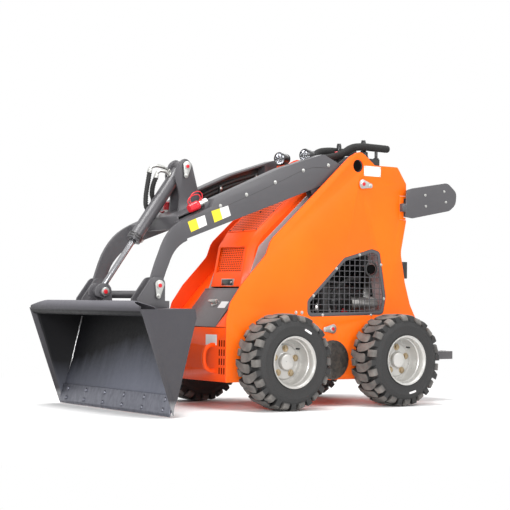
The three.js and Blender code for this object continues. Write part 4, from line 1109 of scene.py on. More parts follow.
def set_in(corners, depth):
    """The same outline moved inwards by depth."""
    count = len(corners)
    middle = sum((Vector(c) for c in corners), Vector((0, 0))) / count
    lines = []
    for i in range(count):
        a, b = Vector(corners[i]), Vector(corners[(i + 1) % count])
        along = (b - a).normalized()
        inward = Vector((-along.y, along.x))
        if inward.dot(middle - a) < 0:
            inward = -inward
        lines.append((a + inward * depth, along))
    inside = []
    for i in range(count):
        (p, u), (q, v) = lines[i - 1], lines[i]
        cross = u.x * v.y - u.y * v.x
        t = ((q.x - p.x) * v.y - (q.y - p.y) * v.x) / cross
        inside.append(tuple(p + u * t))
    return inside


def crossings(corners, level, axis):
    """Where a straight line at this level enters and leaves the outline."""
    hits = []
    count = len(corners)
    for i in range(count):
        a, b = corners[i], corners[(i + 1) % count]
        if (a[axis] - level) * (b[axis] - level) < 0:
            share = (level - a[axis]) / (b[axis] - a[axis])
            hits.append(a[1 - axis] + share * (b[1 - axis] - a[1 - axis]))
    return (min(hits), max(hits)) if len(hits) >= 2 else None


def ring_plate(name, outer, inner, low_y, high_y, finish, edge=0.0015):
    """A flat frame between two outlines with the same number of points."""
    clear_selection()
    bpy.ops.mesh.primitive_circle_add(vertices=len(outer), radius=1)
    ring = bpy.context.active_object
    for vertex, (x, z) in zip(ring.data.vertices, outer):
        vertex.co = place(x, low_y, z)
    bpy.ops.object.mode_set(mode="EDIT")
    bpy.ops.mesh.select_all(action="SELECT")
    bpy.ops.mesh.extrude_edges_move(TRANSFORM_OT_translate={"value": (0, 0, 0)})
    bpy.ops.object.mode_set(mode="OBJECT")
    for vertex, (x, z) in zip(list(ring.data.vertices)[len(outer):], inner):
        vertex.co = place(x, low_y, z)
    bpy.ops.object.mode_set(mode="EDIT")
    bpy.ops.mesh.select_all(action="SELECT")
    bpy.ops.mesh.extrude_region_move(TRANSFORM_OT_translate={"value": (0, high_y - low_y, 0)})
    bpy.ops.mesh.select_all(action="SELECT")
    bpy.ops.mesh.normals_make_consistent(inside=False)
    return finished(name, finish, edge)


print("window corners:", len(WINDOW))

# %% [markdown]
# The frame is the window's own outline, set in by its own width and held by seven bolts.
# The wires are cut to the sloping outline, with a round gap where the exhaust comes out,
# and the whole guard is copied to the other side.

# %% Window frame and wires
outer_corners = [(*corner, r) for corner, r in zip(set_in(WINDOW, 0.0015), WINDOW_ROUND)]
inner_corners = [(*corner, max(0.008, r - 0.010)) for corner, r in zip(set_in(WINDOW, 0.020), WINDOW_ROUND)]
outer_ring = [tuple(point) for point in round_outline(outer_corners)]
inner_ring = [tuple(point) for point in round_outline(inner_corners)]
wire_limit = set_in(WINDOW, 0.015)
mesh_parts = [ring_plate("window_frame", outer_ring, inner_ring, 0.2825, 0.2885, grey_paint)]
WIRE = 0.0022
EXHAUST_GAP = 0.041
COLUMNS, ROWS = 15, 12


def wire_stretches(level, axis):
    """The stretches of one wire inside the frame, with a round gap left for the exhaust."""
    span = crossings(wire_limit, level, axis)
    if not span:
        return []
    stretches = [span]
    gap = EXHAUST_GAP ** 2 - (level - EXHAUST[axis]) ** 2
    if gap > 0:
        half, middle = math.sqrt(gap), EXHAUST[1 - axis]
        stretches = [(span[0], middle - half), (middle + half, span[1])]
    return [(low, high) for low, high in stretches if high - low > 0.01]


for i in range(1, COLUMNS):
    x = -0.410 + 0.540 * i / COLUMNS
    for low, high in wire_stretches(x, 0):
        ends = place(x, 0.2862, low), place(x, 0.2862, high)
        mesh_parts.append(bar("wire", *ends, WIRE, grey_paint, 0, 8))
for i in range(1, ROWS):
    z = 0.492 + 0.372 * i / ROWS
    for low, high in wire_stretches(z, 1):
        ends = place(low, 0.2832, z), place(high, 0.2832, z)
        mesh_parts.append(bar("wire", *ends, WIRE, grey_paint, 0, 8))
mesh_parts.append(turned(
    "exhaust_ring",
    [(0.0355, -0.004), (0.0435, -0.004), (0.0435, 0.0025), (0.041, 0.0035), (0.0355, 0.0035)],
    place(EXHAUST[0], 0.285, EXHAUST[1]), (0, 1, 0), black_paint, 40,
))
bolt_spots = [
    (0.029, 0.4975), (-0.310, 0.4975), (-0.403, 0.590), (-0.381, 0.780), (-0.227, 0.832), (-0.064, 0.752),
    (0.093, 0.601),
]
for x, z in bolt_spots:
    mesh_parts.append(bolt("frame_bolt", place(x, 0.2885, z), (0, 1, 0), 0.0068))
window_left = joined("window_guard_left_skin", mesh_parts)
window_right = copied(window_left, "window_guard_right_skin", OTHER_SIDE)
fitted(window_left, "chassis", frame_slot["window_guard_left"], "window_guard_left")
fitted(window_right, "chassis", frame_slot["window_guard_right"], "window_guard_right")
print("window guard parts:", len(mesh_parts))

# %% [markdown]
# Behind the mesh one sees a crowded engine bay: fins on the block, a rocker cover, a
# pulley, a filter, a red filler cap and three hoses. A ribbed black shroud along the
# middle stops daylight coming in from the far window, and a black disc fills the
# exhaust's mouth with painted shade and soot.

# %% Engine bay
bay = []
for i in range(9):
    x = -0.385 + 0.040 * i
    bay.append(block("fin", place(x, 0.149, 0.42), place(x + 0.010, 0.160, 0.622), cast_iron, 0.002))
bay.append(block("rocker_cover", place(-0.37, -0.11, 0.637), place(-0.06, 0.11, 0.668), black_paint, 0.012))
bay_piece = joined("engine_fins", bay)
fitted(bay_piece, "chassis", "engine_mass")
pulley = turned(
    "fan_pulley",
    [
        (0.0, 0.0), (0.055, 0.0), (0.060, 0.004), (0.052, 0.010), (0.060, 0.016), (0.055, 0.020),
        (0.030, 0.020), (0.026, 0.012), (0.0, 0.012),
    ],
    place(-0.075, 0.158, 0.535), (0, 1, 0), steel, 48,
)
filter_can = turned(
    "filter_can",
    [(0.0, -0.05), (0.034, -0.05), (0.038, -0.045), (0.038, 0.040), (0.033, 0.047), (0.0, 0.049)],
    place(-0.130, 0.150, 0.545), (0, 0.25, 1), black_plastic, 40,
)
fitted(joined("engine_pulley", [pulley]), "chassis", "engine_mass")
shroud = [block("sheet", place(-0.405, -0.004, 0.600), place(0.080, 0.004, 0.870), black_plastic, 0.002)]
shroud += [
    block("rib", place(x, -0.011, 0.604), place(x + 0.012, 0.011, 0.862), black_plastic, 0.003)
    for x in (-0.37, -0.26, -0.15, -0.04, 0.06)
]
shroud += [
    bolt("shroud_bolt", place(x, side * 0.004, z), (0, side, 0), 0.006)
    for x in (-0.31, -0.09)
    for z in (0.64, 0.83)
    for side in (1, -1)
]
fitted(joined("engine_shroud", shroud), "chassis", "black_plastic")
cap = bar(
    "filler_cap", place(-0.215, 0.162, 0.515), place(-0.215, 0.184, 0.515), 0.020, red_plastic, 0.004, 32,
)
fitted(joined("engine_filter", [filter_can, cap]), "chassis", "engine_mass")
# Painted shade and soot: a black disc in the mouth of the exhaust pipe.
plug = bar(
    "exhaust_shade_disc", place(-0.320, 0.2785, 0.754), place(-0.320, 0.2815, 0.754), 0.0270, soot_and_shade_black, 0.001, 40,
)
fitted(plug, "chassis", "muffler_steel")
ENGINE_HOSES = [
    [(-0.05, 0.13, 0.50), (-0.03, 0.15, 0.60), (-0.10, 0.155, 0.68), (-0.22, 0.15, 0.66)],
    [(-0.40, 0.155, 0.64), (-0.30, 0.165, 0.70), (-0.18, 0.16, 0.66), (-0.10, 0.14, 0.56)],
    [(0.02, 0.10, 0.48), (-0.05, 0.14, 0.54), (-0.12, 0.15, 0.52), (-0.20, 0.155, 0.50)],
]
for i, route in enumerate(ENGINE_HOSES):
    pipe = hose(f"engine_hose_{i}", [place(*p) for p in route], 0.011, plain_rubber, 5, 12)
    fitted(pipe, "chassis", "black_plastic")
print("engine bay dressed")

# %% [markdown]
# The boom arm's flat outer face is broken by a cover: a thin seam with small bolts along
# it. Two warning stickers sit near the bend, half yellow and half white, left blank. The
# arm's inner side is an open channel in which the hydraulic hoses run.

# %% Boom arms
SEAM = [(0.645, 1.067), (0.499, 1.128), (0.306, 1.212), (0.113, 1.293), (0.060, 1.301), (-0.020, 1.302)]
COVER_BOLTS = [(0.692, 1.061), (0.528, 1.128), (0.342, 1.204), (0.155, 1.279), (-0.017, 1.318)]
STICKERS = [
    [(0.893, 0.970), (0.790, 1.009), (0.774, 0.959), (0.871, 0.918)],
    [(0.749, 1.031), (0.645, 1.065), (0.627, 1.014), (0.728, 0.973)],
]
ARM_FACE = 0.2685
ARM_CHANNEL = [(0.082, 1.343), (0.310, 1.267), (0.697, 1.097), (0.697, 0.970), (0.082, 1.192)]


def sticker_halves(corners, y, side):
    a, b, c, d = [Vector(p) for p in corners]
    top, low = (a + b) / 2, (d + c) / 2
    halves = []
    for ring, finish in (((a, top, low, d), yellow_sticker), ((top, b, c, low), white_sticker)):
        points = [place(p.x, side * y, p.y) for p in ring]
        halves.append(cut_plate("sticker", points, Vector((0, side * 0.0006, 0)), finish, 0))
    return halves


for side, hand in SIDES:
    seam = hose("seam", [place(x, side * (ARM_FACE - 0.0004), z) for x, z in SEAM], 0.0013, black_paint, 2, 8)
    bolts = [bolt("cover_bolt", place(x, side * ARM_FACE, z), (0, side, 0), 0.0080) for x, z in COVER_BOLTS]
    fitted(joined("arm_cover_seam_" + hand, [seam, *bolts]), "boom", "chrome_rod")
    stickers = [half for corners in STICKERS for half in sticker_halves(corners, ARM_FACE + 0.0002, side)]
    fitted(joined("arm_stickers_" + hand, stickers), "boom", "black_plastic")
    channel = [place(x, side * 0.2580, z) for x, z in ARM_CHANNEL]
    liner = cut_plate("liner", channel, Vector((0, side * -0.0012, 0)), black_paint, 0)
    lines = [liner]
    for drop, y, radius in ((0.030, 0.243, 0.0085), (0.052, 0.246, 0.0085), (0.074, 0.243, 0.0065)):
        route = [(0.10, 1.327 - drop), (0.31, 1.262 - drop), (0.50, 1.180 - drop), (0.685, 1.098 - drop)]
        lines.append(hose("line", [place(x, side * y, z) for x, z in route], radius, plain_rubber, 5, 14))
    for x, z in ((0.115, 1.300), (0.360, 1.220), (0.590, 1.118)):
        low = place(x - 0.010, side * 0.2345 - 0.010, z - 0.085)
        high = place(x + 0.010, side * 0.2345 + 0.010, z - 0.004)
        lines.append(block("clamp", low, high, black_plastic, 0.003))
        lines.append(bolt("clamp_bolt", place(x, side * 0.2245, z - 0.022), (0, -side, 0), 0.0065))
    fitted(joined("arm_hoses_" + hand, lines), "boom", "black_plastic")
print("arm bolts per side:", len(COVER_BOLTS))

# %% [markdown]
# Where attachments plug in, two couplers with red dust caps stick up from the boom, each
# cap held by two thin loops of red cord.

# %% Couplers
def coupler(name, foot, way, ring_lean, size):
    foot, way = Vector(foot), Vector(way).normalized()
    body_line = [
        (0.0, 0.0), (0.016, 0.0), (0.016, 0.016), (0.013, 0.018), (0.013, 0.030), (0.015, 0.032),
        (0.015, 0.040), (0.0, 0.040),
    ]
    cap_line = [
        (0.0, 0.036), (0.0185, 0.036), (0.020, 0.038), (0.020, 0.052), (0.0185, 0.054), (0.0185, 0.072),
        (0.016, 0.077), (0.0, 0.078),
    ]
    bits = [turned("body", [(r * min(size, 1.2), a * size) for r, a in body_line], foot, way, zinc, 28),
            turned("cap", [(r * min(size, 1.2), a * size) for r, a in cap_line], foot, way, red_plastic, 32)]
    lean = Vector(ring_lean)
    for shift, reach in ((0.0, 0.030), (0.030 * (size - 1), 0.024)):
        middle = foot + way * (0.040 * size + shift) + lean * (0.010 + reach)
        loop = []
        for k in range(13):
            angle = math.pi * k / 6
            sideways = lean * reach * math.cos(angle + math.pi)
            loop.append(middle + sideways + way * 0.028 * size * math.sin(angle))
        bits.append(hose("ring", loop, 0.0028, red_plastic, 3, 8))
    return fitted(joined(name, bits), "boom", "black_plastic")


coupler("coupler_left", place(0.752, 0.222, 1.084), (0.88, 0.05, -0.36), (0.10, -0.15, 0.98), 1.5)
coupler("coupler_middle", place(0.795, -0.092, 1.018), (0.10, 0.10, 0.98), (0.80, -0.50, 0.30), 1.0)
fitted(joined("coupler_blocks", [
    block("seat", place(0.715, 0.180, 1.030), place(0.770, 0.2425, 1.082), grey_paint, 0.003),
    block("seat", place(0.768, -0.118, 0.996), place(0.824, -0.066, 1.024), grey_paint, 0.003),
]), "boom", "grey_paint")


print("couplers: 2")

# %% [markdown]
# The tilt cylinder is fed by two ribbed hoses through silver elbows. The ribs are short
# rings threaded on a smooth core. The bright rod ends in an eye round the foot pin, and
# two black rings show where it enters the barrel.

# %% Tilt cylinder, hoses and rod
def ribbed(name, points, radius, finish, pitch=0.0055):
    """A smooth hose, and short rings along it."""
    core = hose("core", points, radius * 0.86, finish, 5, 14)
    line = [Vector(p) for p in points]
    rings = [core]
    for a, b in zip(line, line[1:]):
        length = (b - a).length
        count = max(1, int(length / (pitch * 2)))
        for k in range(count):
            at = a + (b - a) * (k + 0.5) / count
            way = (b - a).normalized()
            rings.append(bar("rib", at - way * pitch / 2, at + way * pitch / 2, radius, finish, 0.0012, 20))
    return joined(name, rings)


TILT_WAY = Vector((1.249 - 0.769, 0, 0.609 - 1.277)).normalized()
TILT_SIDE = Vector((-TILT_WAY.z, 0, TILT_WAY.x))
BARREL_LENGTH, ROD_LENGTH = 0.462, 0.4145
top_pin = place(0.769, 0, 1.277)
TILT_LINES = [
    (
        -0.030,
        [(0.822, 1.250), (0.846, 1.268), (0.880, 1.277), (0.914, 1.277), (0.937, 1.266), (0.944, 1.247)],
        [
            (0.944, -0.030, 1.244), (0.947, -0.036, 1.205), (0.950, -0.045, 1.160), (0.952, -0.053, 1.110),
            (0.948, -0.057, 1.065), (0.930, -0.058, 1.035),
        ],
    ),
    (
        0.006,
        [(0.838, 1.228), (0.862, 1.244), (0.886, 1.250), (0.908, 1.247), (0.921, 1.234), (0.925, 1.218)],
        [
            (0.925, 0.006, 1.215), (0.926, -0.020, 1.180), (0.920, -0.042, 1.150), (0.912, -0.056, 1.120),
            (0.896, -0.058, 1.098),
        ],
    ),
]
elbows, tilt_hoses = [], []
for y, bend, drop in TILT_LINES:
    steel_line = [place(x, y, z) for x, z in bend]
    elbows.append(hose("elbow", steel_line, 0.0095, zinc, 5, 10))
    way = (steel_line[1] - steel_line[0]).normalized()
    elbows.append(
        bar("nut", steel_line[0] - way * 0.004, steel_line[0] + way * 0.012, 0.0145, zinc, 0.0015, 6)
    )
    way = (steel_line[-1] - steel_line[-2]).normalized()
    elbows.append(
        bar("nut", steel_line[-1] - way * 0.012, steel_line[-1] + way * 0.010, 0.0145, zinc, 0.0015, 6)
    )
    port = place(*drop[-1])
    elbows.append(block(
        "port", port - Vector((0.016, 0.014, 0.018)), port + Vector((0.016, 0.026, 0.014)), grey_paint,
        0.003,
    ))
    tilt_hoses.append(ribbed("ribbed_hose", [place(*at) for at in drop], 0.0135, plain_rubber))
gland = top_pin + TILT_WAY * BARREL_LENGTH
elbows.append(bar("gland_port", gland - TILT_SIDE * 0.028, gland - TILT_SIDE * 0.048, 0.011, zinc, 0.0015, 6))
fitted(joined("tilt_elbows", elbows), "tilt_barrel", "chrome_rod")
fitted(joined("tilt_hoses", tilt_hoses), "tilt_barrel", "black_plastic")
gland_rings = [
    bar("gland", gland + TILT_WAY * k, gland + TILT_WAY * (k + 0.010), 0.0400, black_paint, 0.002, 48)
    for k in (-0.004, 0.010)
]
fitted(joined("tilt_gland", gland_rings), "tilt_barrel", "black_plastic")
rod_eye = bar(
    "rod_eye", foot_pin - Vector((0, 0.025, 0)), foot_pin + Vector((0, 0.025, 0)), 0.0289, grey_paint,
    0.002, 64,
)
rod = bar("rod", foot_pin, foot_pin - TILT_WAY * ROD_LENGTH, 0.0149, chrome, 0.0008, 64)
fitted(joined("tilt_rod_skin", [rod, rod_eye]), "tilt_rod", frame_slot["tilt_rod"], "tilt_rod")
print("tilt hoses:", len(tilt_hoses))

# %% [markdown]
# The nose carries a grille of crossing bars with a dark radiator core behind it.

# %% Grille
def lattice(name, corner, across, up, count_across, count_up, width, depth_way, depth, finish):
    """Crossing strips over a flat four-sided opening."""
    strips = []
    for i in range(count_across + 1):
        at = corner + across * i / count_across
        shift = across.normalized() * width / 2
        strip = [at - shift, at + shift, at + shift + up, at - shift + up]
        strips.append(cut_plate("strip", strip, depth_way * depth, finish, 0))
    for i in range(count_up + 1):
        at = corner + up * i / count_up - depth_way * 0.0004
        shift = up.normalized() * width / 2
        strip = [at - shift, at + across - shift, at + across + shift, at + shift]
        strips.append(cut_plate("strip", strip, depth_way * depth, finish, 0))
    return joined(name, strips)


grille_foot, grille_head = place(0.4500, -0.1150, 0.7270), place(0.4208, -0.1150, 0.8590)
grille_up = grille_head - grille_foot
grille_in = Vector((-grille_up.z, 0, grille_up.x)).normalized()
if grille_in.x > 0:
    grille_in = -grille_in
grille_across = Vector((0, 0.230, 0))
grille = lattice(
    "nose_grille_skin", grille_foot, grille_across, grille_up, 13, 11, 0.0055, grille_in, 0.0028,
    shaded_orange_paint,
)
fitted(grille, "chassis", frame_slot["nose_grille"], "nose_grille")
core_foot, core_head = grille_foot + grille_in * 0.016, grille_head + grille_in * 0.016
core_ring = [core_foot, core_foot + grille_across, core_head + grille_across, core_head]
core = cut_plate("radiator_core", core_ring, grille_in * 0.006, black_paint, 0)
fitted(core, "chassis", "black_plastic")

print("grille faces:", len(grille.data.polygons))

# %% [markdown]
# On the slope above the grille lies a sheet of finely perforated steel. The perforation
# is a finish: rows of round holes worked out from the place on the slope. The dark in the
# holes is painted shade, and the sheet's deeper orange is painted shade like the nose's.

# %% Perforated sheet on the slope
SLOPE_UP = Vector((-0.7423, 0, 0.6700))
SLOPE_OUT = Vector((0.6700, 0, 0.7423))
slope_foot = place(0.3758, 0, 0.9414) + SLOPE_UP * 0.012


def perforated(name, colour, hole, step):
    finish, tree, shader, coords = new_finish(name)
    split = tree.nodes.new("ShaderNodeSeparateXYZ")
    tree.links.new(coords, split.inputs["Vector"])
    waves = []
    for axis, rise in (("Y", 1), ("Z", SLOPE_UP.z)):
        wave = sums(tree, "SINE", sums(tree, "MULTIPLY", split.outputs[axis], math.pi / (step * rise)), 0)
        waves.append(sums(tree, "ABSOLUTE", wave, 0))
    dots = sums(tree, "MULTIPLY", *waves)
    inside = ranged(tree, dots, 0.34, 0.46, 0, 1)
    fine = cloud(tree, coords, 120, 4)
    painted_face = blended(tree, fine, colour, tuple(0.85 * c for c in colour))
    tree.links.new(blended(tree, inside, painted_face, hole), shader.inputs["Base Color"])
    tree.links.new(ranged(tree, inside, 0, 1, 0.4, 0.9), shader.inputs["Roughness"])
    bumped(tree, shader, fine, 0.0001)
    return finish


# The sheet's deeper orange and the dark in its holes are painted shade.
mesh_finish = perforated("perforated_hood_sheet", (0.90, 0.085, 0.002), (0.140, 0.014, 0.006), 0.0155)
slope_corners = [(-0.136, 0.0), (0.136, 0.0), (0.136, 0.335), (-0.136, 0.335)]


def on_slope(y, up, out):
    return slope_foot + Vector((0, y, 0)) + SLOPE_UP * up + SLOPE_OUT * out


sheet_ring = [on_slope(y, up, -0.0010) for y, up in slope_corners]
sheet = cut_plate("hood_mesh", sheet_ring, SLOPE_OUT * 0.0028, mesh_finish, 0.0006)
fitted(sheet, "chassis", "orange_paint")
rim_bars = []
for (y0, u0), (y1, u1) in zip(slope_corners, slope_corners[1:] + slope_corners[:1]):
    ends = on_slope(y0, u0, 0.001), on_slope(y1, u1, 0.001)
    rim_bars.append(bar("edge", *ends, 0.0035, shaded_orange_paint, 0, 12))
for y in (-0.126, 0.0, 0.126):
    for up in (0.010, 0.165, 0.325):
        rim_bars.append(bolt("mesh_bolt", on_slope(y, up, 0.0018), SLOPE_OUT, 0.0050, black_paint))
fitted(joined("hood_mesh_edge", rim_bars), "chassis", "orange_paint")

print("perforated sheet fitted")

# %% [markdown]
# A small hour meter sits just below the grille: a bright frame, a black case, a dark face
# and a key.

# %% Hour meter
meter = [
    block("meter_frame", place(0.4570, -0.040, 0.649), place(0.4760, 0.076, 0.689), zinc, 0.003),
    block("meter_case", place(0.4700, -0.034, 0.653), place(0.4775, 0.070, 0.685), black_plastic, 0.002),
    block("meter_face", place(0.4770, -0.022, 0.659), place(0.4790, 0.036, 0.680), dial_face, 0.0008),
    bar("meter_key", place(0.4770, 0.062, 0.669), place(0.4825, 0.062, 0.669), 0.006, zinc, 0.001, 20),
]
fitted(joined("hour_meter", meter), "chassis", "black_plastic")
print("hour meter parts:", len(meter))

# %% [markdown]
# Under the nose sits the hinged lid with a T-handle and a blank label. The front plate
# has another blank label, with black slots of painted shade and a dark screen at each of
# its louvres. One more blank label is screwed to the left side, below the operator's console.

# %% Lid, labels and louvre screen
LID_DOWN = Vector((0.165, 0, -0.199)).normalized()
LID_OUT = Vector((0.199, 0, 0.165)).normalized()
lid_middle = place(0.5546, 0.020, 0.5565)
rose = bar("rose", lid_middle - LID_OUT * 0.002, lid_middle + LID_OUT * 0.006, 0.024, zinc, 0.0015, 32)
neck = bar("neck", lid_middle + LID_OUT * 0.004, lid_middle + LID_OUT * 0.018, 0.007, zinc, 0.001, 20)
grip_middle, grip_half = lid_middle + LID_OUT * 0.018, Vector((0, 0.036, 0))
grip = bar("grip", grip_middle - grip_half, grip_middle + grip_half, 0.0090, zinc, 0.003, 24)
lid_tag = place(0.5620, 0.110, 0.5476) - LID_OUT * 0.0004
tag_ring = [lid_tag + Vector((0, y, 0)) + LID_DOWN * down for y, down in oblong(0.034, 0.022)]
tag = cut_plate("tag", tag_ring, LID_OUT * 0.0014, white_sticker, 0)
fitted(joined("lid_latch", [rose, neck, grip, tag]), "front_lid", "chrome_rod")

FRONT_FACE = 0.6570
front_tag = block(
    "front_label", place(FRONT_FACE - 0.0002, 0.090, 0.336), place(FRONT_FACE + 0.0006, 0.196, 0.391),
    white_sticker, 0,
)
fitted(front_tag, "chassis", "black_plastic")
screens = []
for side in (1, -1):
    near, far = sorted((side * 0.186, side * 0.276))
    ends = place(0.640, near, 0.172), place(0.644, far, 0.400)
    screens.append(block("screen", *ends, black_paint, 0.001))
fitted(joined("louvre_screens", screens), "chassis", "black_plastic")
# The black slots are painted shade in the louvre openings.
SLOT_HALF_WIDTH, SLOT_HALF_HEIGHT = 0.0042, 0.0165
slots = []
for side in (1, -1):
    for row in range(4):
        for column in range(3):
            y, z = side * (0.221 + 0.022 * column), 0.203 + 0.048 * row
            low = place(FRONT_FACE - 0.0030, y - SLOT_HALF_WIDTH, z - SLOT_HALF_HEIGHT)
            high = place(FRONT_FACE + 0.0005, y + SLOT_HALF_WIDTH, z + SLOT_HALF_HEIGHT)
            slots.append(block("slot", low, high, soot_and_shade_black, 0))
fitted(joined("louvre_slots", slots), "chassis", "black_plastic")
side_tag = block("side_label", place(-0.372, 0.2898, 1.273), place(-0.252, 0.2906, 1.329), white_sticker, 0)
tag_screws = [
    bolt("tag_screw", place(x, 0.2906, z), (0, 1, 0), 0.0035)
    for x in (-0.366, -0.258)
    for z in (1.279, 1.323)
]
fitted(joined("side_label_plate", [side_tag, *tag_screws]), "chassis", "black_plastic")
print("labels are blank")

# %% [markdown]
# Two round work lights stand on a bar over the hood. Each is a deep black bowl with cooling
# fins behind, a silver reflector, a pale emitter, a cross of thin vanes and a clear lens.

# %% Work lights
LAMP_WAY = Vector((0.92, 0.36, -0.04)).normalized()
LAMP_SPACING = 0.240
lamp_foot = place(0.0, LAMP_SPACING / 2, 1.381)
bowl = turned(
    "bowl",
    [
        (0.0, -0.026), (0.018, -0.026), (0.025, -0.020), (0.0255, -0.004), (0.034, 0.002), (0.0368, 0.010),
        (0.0368, 0.051), (0.0350, 0.053), (0.0335, 0.051), (0.0335, 0.030), (0.020, 0.010), (0.0, 0.008),
    ],
    lamp_foot, LAMP_WAY, black_plastic, 48,
)
dish = turned(
    "dish",
    [
        (0.0, 0.0095), (0.019, 0.0125), (0.0325, 0.031), (0.0332, 0.046), (0.0315, 0.046), (0.0308, 0.033),
        (0.0180, 0.0150), (0.0, 0.0125),
    ],
    lamp_foot, LAMP_WAY, polished, 48,
)
glow_cube = turned(
    "emitter", [(0.0, 0.012), (0.008, 0.012), (0.008, 0.026), (0.005, 0.030), (0.0, 0.031)], lamp_foot,
    LAMP_WAY, white_sticker, 24,
)
across_lamp = LAMP_WAY.cross(Vector((0, 0, 1))).normalized()
vane_middle = lamp_foot + LAMP_WAY * 0.030
divider = [bar("vane", vane_middle - way * 0.031, vane_middle + way * 0.031, 0.0022, black_plastic, 0, 8)
           for way in (across_lamp, Vector((0, 0, 1)))]
front = turned(
    "lens", [(0.0, 0.0470), (0.0325, 0.0462), (0.0333, 0.0480), (0.020, 0.0515), (0.0, 0.0525)], lamp_foot,
    LAMP_WAY, lens, 48,
)
fins = [
    turned(
        "fin", [(0.0, k), (0.0300, k), (0.0300, k + 0.002), (0.0, k + 0.002)], lamp_foot, LAMP_WAY,
        black_plastic, 32,
    )
    for k in (-0.020, -0.014, -0.008)
]
stand = [
    block("foot", place(-0.004, 0.104, 1.3405), place(0.026, 0.136, 1.352), black_paint, 0.002),
    block("yoke", place(0.008, 0.082, 1.345), place(0.026, 0.0855, 1.392), black_paint, 0.001),
    block("yoke", place(0.008, 0.1545, 1.345), place(0.026, 0.158, 1.392), black_paint, 0.001),
    block("yoke", place(0.008, 0.082, 1.3425), place(0.026, 0.158, 1.3460), black_paint, 0.001),
    bolt("knob", place(0.017, 0.158, 1.381), (0, 1, 0), 0.007),
    bolt("knob", place(0.017, 0.082, 1.381), (0, -1, 0), 0.007),
]
left_lamp = joined("lamp_left", [bowl, dish, glow_cube, *divider, front, *fins, *stand])
right_lamp = copied(left_lamp, "lamp_right", Matrix.Translation(Vector((0, -LAMP_SPACING, 0))))
lamp_bar = block("lamp_bar", place(0.002, -0.150, 1.3402), place(0.022, 0.150, 1.3475), black_paint, 0.002)
lights = joined("work_lights_skin", [lamp_bar, left_lamp, right_lamp])
fitted(lights, "chassis", frame_slot["work_lights"], "work_lights")
print("work lights:", len(lights.data.polygons), "faces")

# %% [markdown]
# The operator holds a bent bar covered in soft black foam. It stands on four thin posts
# and has a soft cap on each end.

# %% Hand bar
FOAM_RADIUS = 0.0215
GRIP_LINE = [(-0.524, 0.150, 1.452), (-0.440, 0.150, 1.453), (-0.330, 0.150, 1.451), (-0.268, 0.150, 1.437),
             (-0.228, 0.136, 1.410), (-0.210, 0.104, 1.395), (-0.206, 0.050, 1.391)]
across = GRIP_LINE + [(x, -y, z) for x, y, z in reversed(GRIP_LINE)]
grip = hose("grip", [place(*p) for p in across], FOAM_RADIUS, foam, 8, 10)
posts = []
for side in (1, -1):
    for x, y, low, top in ((-0.198, 0.060, 1.3402, 1.390), (-0.455, 0.150, 1.3885, 1.440)):
        posts.append(
            bar("post", place(x, side * y, low), place(x, side * y, top), 0.009, black_paint, 0.001, 24)
        )
        posts.append(bar(
            "flange", place(x, side * y, low), place(x, side * y, low + 0.006), 0.016, black_paint, 0.0015,
            24,
        ))
    posts.append(bar(
        "end_cap", place(-0.5230, side * 0.150, 1.452), place(-0.5440, side * 0.150, 1.4518), 0.0205, foam,
        0.006, 32,
    ))
bar_piece = joined("hand_bar_skin", [grip, *posts])
fitted(bar_piece, "chassis", frame_slot["hand_bar"], "hand_bar")

print("hand bar faces:", len(bar_piece.data.polygons))

# %% [markdown]
# On the console stand two levers in ringed rubber boots, a round gauge, a key and a small
# lever for the engine speed.

# %% Levers and dash
CONSOLE_TOP = 1.388
LEVERS = [(-0.392, 0.112, 1.4947), (-0.392, -0.112, 1.4947)]
boot_profile = [(0.0, 0.0), (0.034, 0.0), (0.034, 0.004)]
for k in range(6):
    wide = 0.0315 - 0.0036 * k
    low = 0.005 + 0.0095 * k
    boot_profile += [
        (wide - 0.005, low), (wide, low + 0.003), (wide, low + 0.006), (wide - 0.006, low + 0.009),
    ]
boot_profile += [(0.0095, 0.064), (0.0, 0.064)]
lever_bits = []
for x, y, top in LEVERS:
    lever_bits.append(
        turned("boot", boot_profile, place(x, y, CONSOLE_TOP - 0.002), (0, 0, 1), plain_rubber, 36)
    )
    lever_bits.append(turned(
        "knob",
        [
            (0.0, 0.0), (0.0095, 0.0), (0.0135, 0.006), (0.0145, 0.022), (0.0145, 0.044), (0.012, 0.053),
            (0.007, 0.0565), (0.0, 0.0575),
        ],
        place(x, y, top - 0.0565), (0, 0, 1), black_plastic, 32,
    ))
fitted(joined("lever_boots_and_knobs", lever_bits), "chassis", "black_plastic")

gauge = [
    turned(
        "gauge_case",
        [(0.0, 0.0), (0.030, 0.0), (0.030, 0.009), (0.027, 0.011), (0.0255, 0.009), (0.0, 0.009)],
        place(-0.330, 0.045, CONSOLE_TOP - 0.001), (0, 0, 1), black_plastic, 40,
    ),
    turned(
        "gauge_face", [(0.0, 0.0085), (0.025, 0.0085), (0.025, 0.0097), (0.0, 0.0097)],
        place(-0.330, 0.045, CONSOLE_TOP - 0.001), (0, 0, 1), white_sticker, 40,
    ),
    turned(
        "key_barrel", [(0.0, 0.0), (0.013, 0.0), (0.013, 0.006), (0.010, 0.008), (0.0, 0.008)],
        place(-0.330, -0.045, CONSOLE_TOP - 0.001), (0, 0, 1), zinc, 32,
    ),
    block(
        "key", place(-0.3325, -0.0465, CONSOLE_TOP + 0.005), place(-0.3275, -0.0435, CONSOLE_TOP + 0.030),
        zinc, 0.0008,
    ),
    bar(
        "speed_lever", place(-0.300, 0.0, CONSOLE_TOP - 0.002), place(-0.285, 0.0, CONSOLE_TOP + 0.034),
        0.004, zinc, 0.0006, 16,
    ),
    bar(
        "speed_knob", place(-0.287, 0.0, CONSOLE_TOP + 0.028), place(-0.283, 0.0, CONSOLE_TOP + 0.046),
        0.009, red_plastic, 0.003, 24,
    ),
]
fitted(joined("dash_controls", gauge), "chassis", "black_plastic")
print("levers:", len(LEVERS))

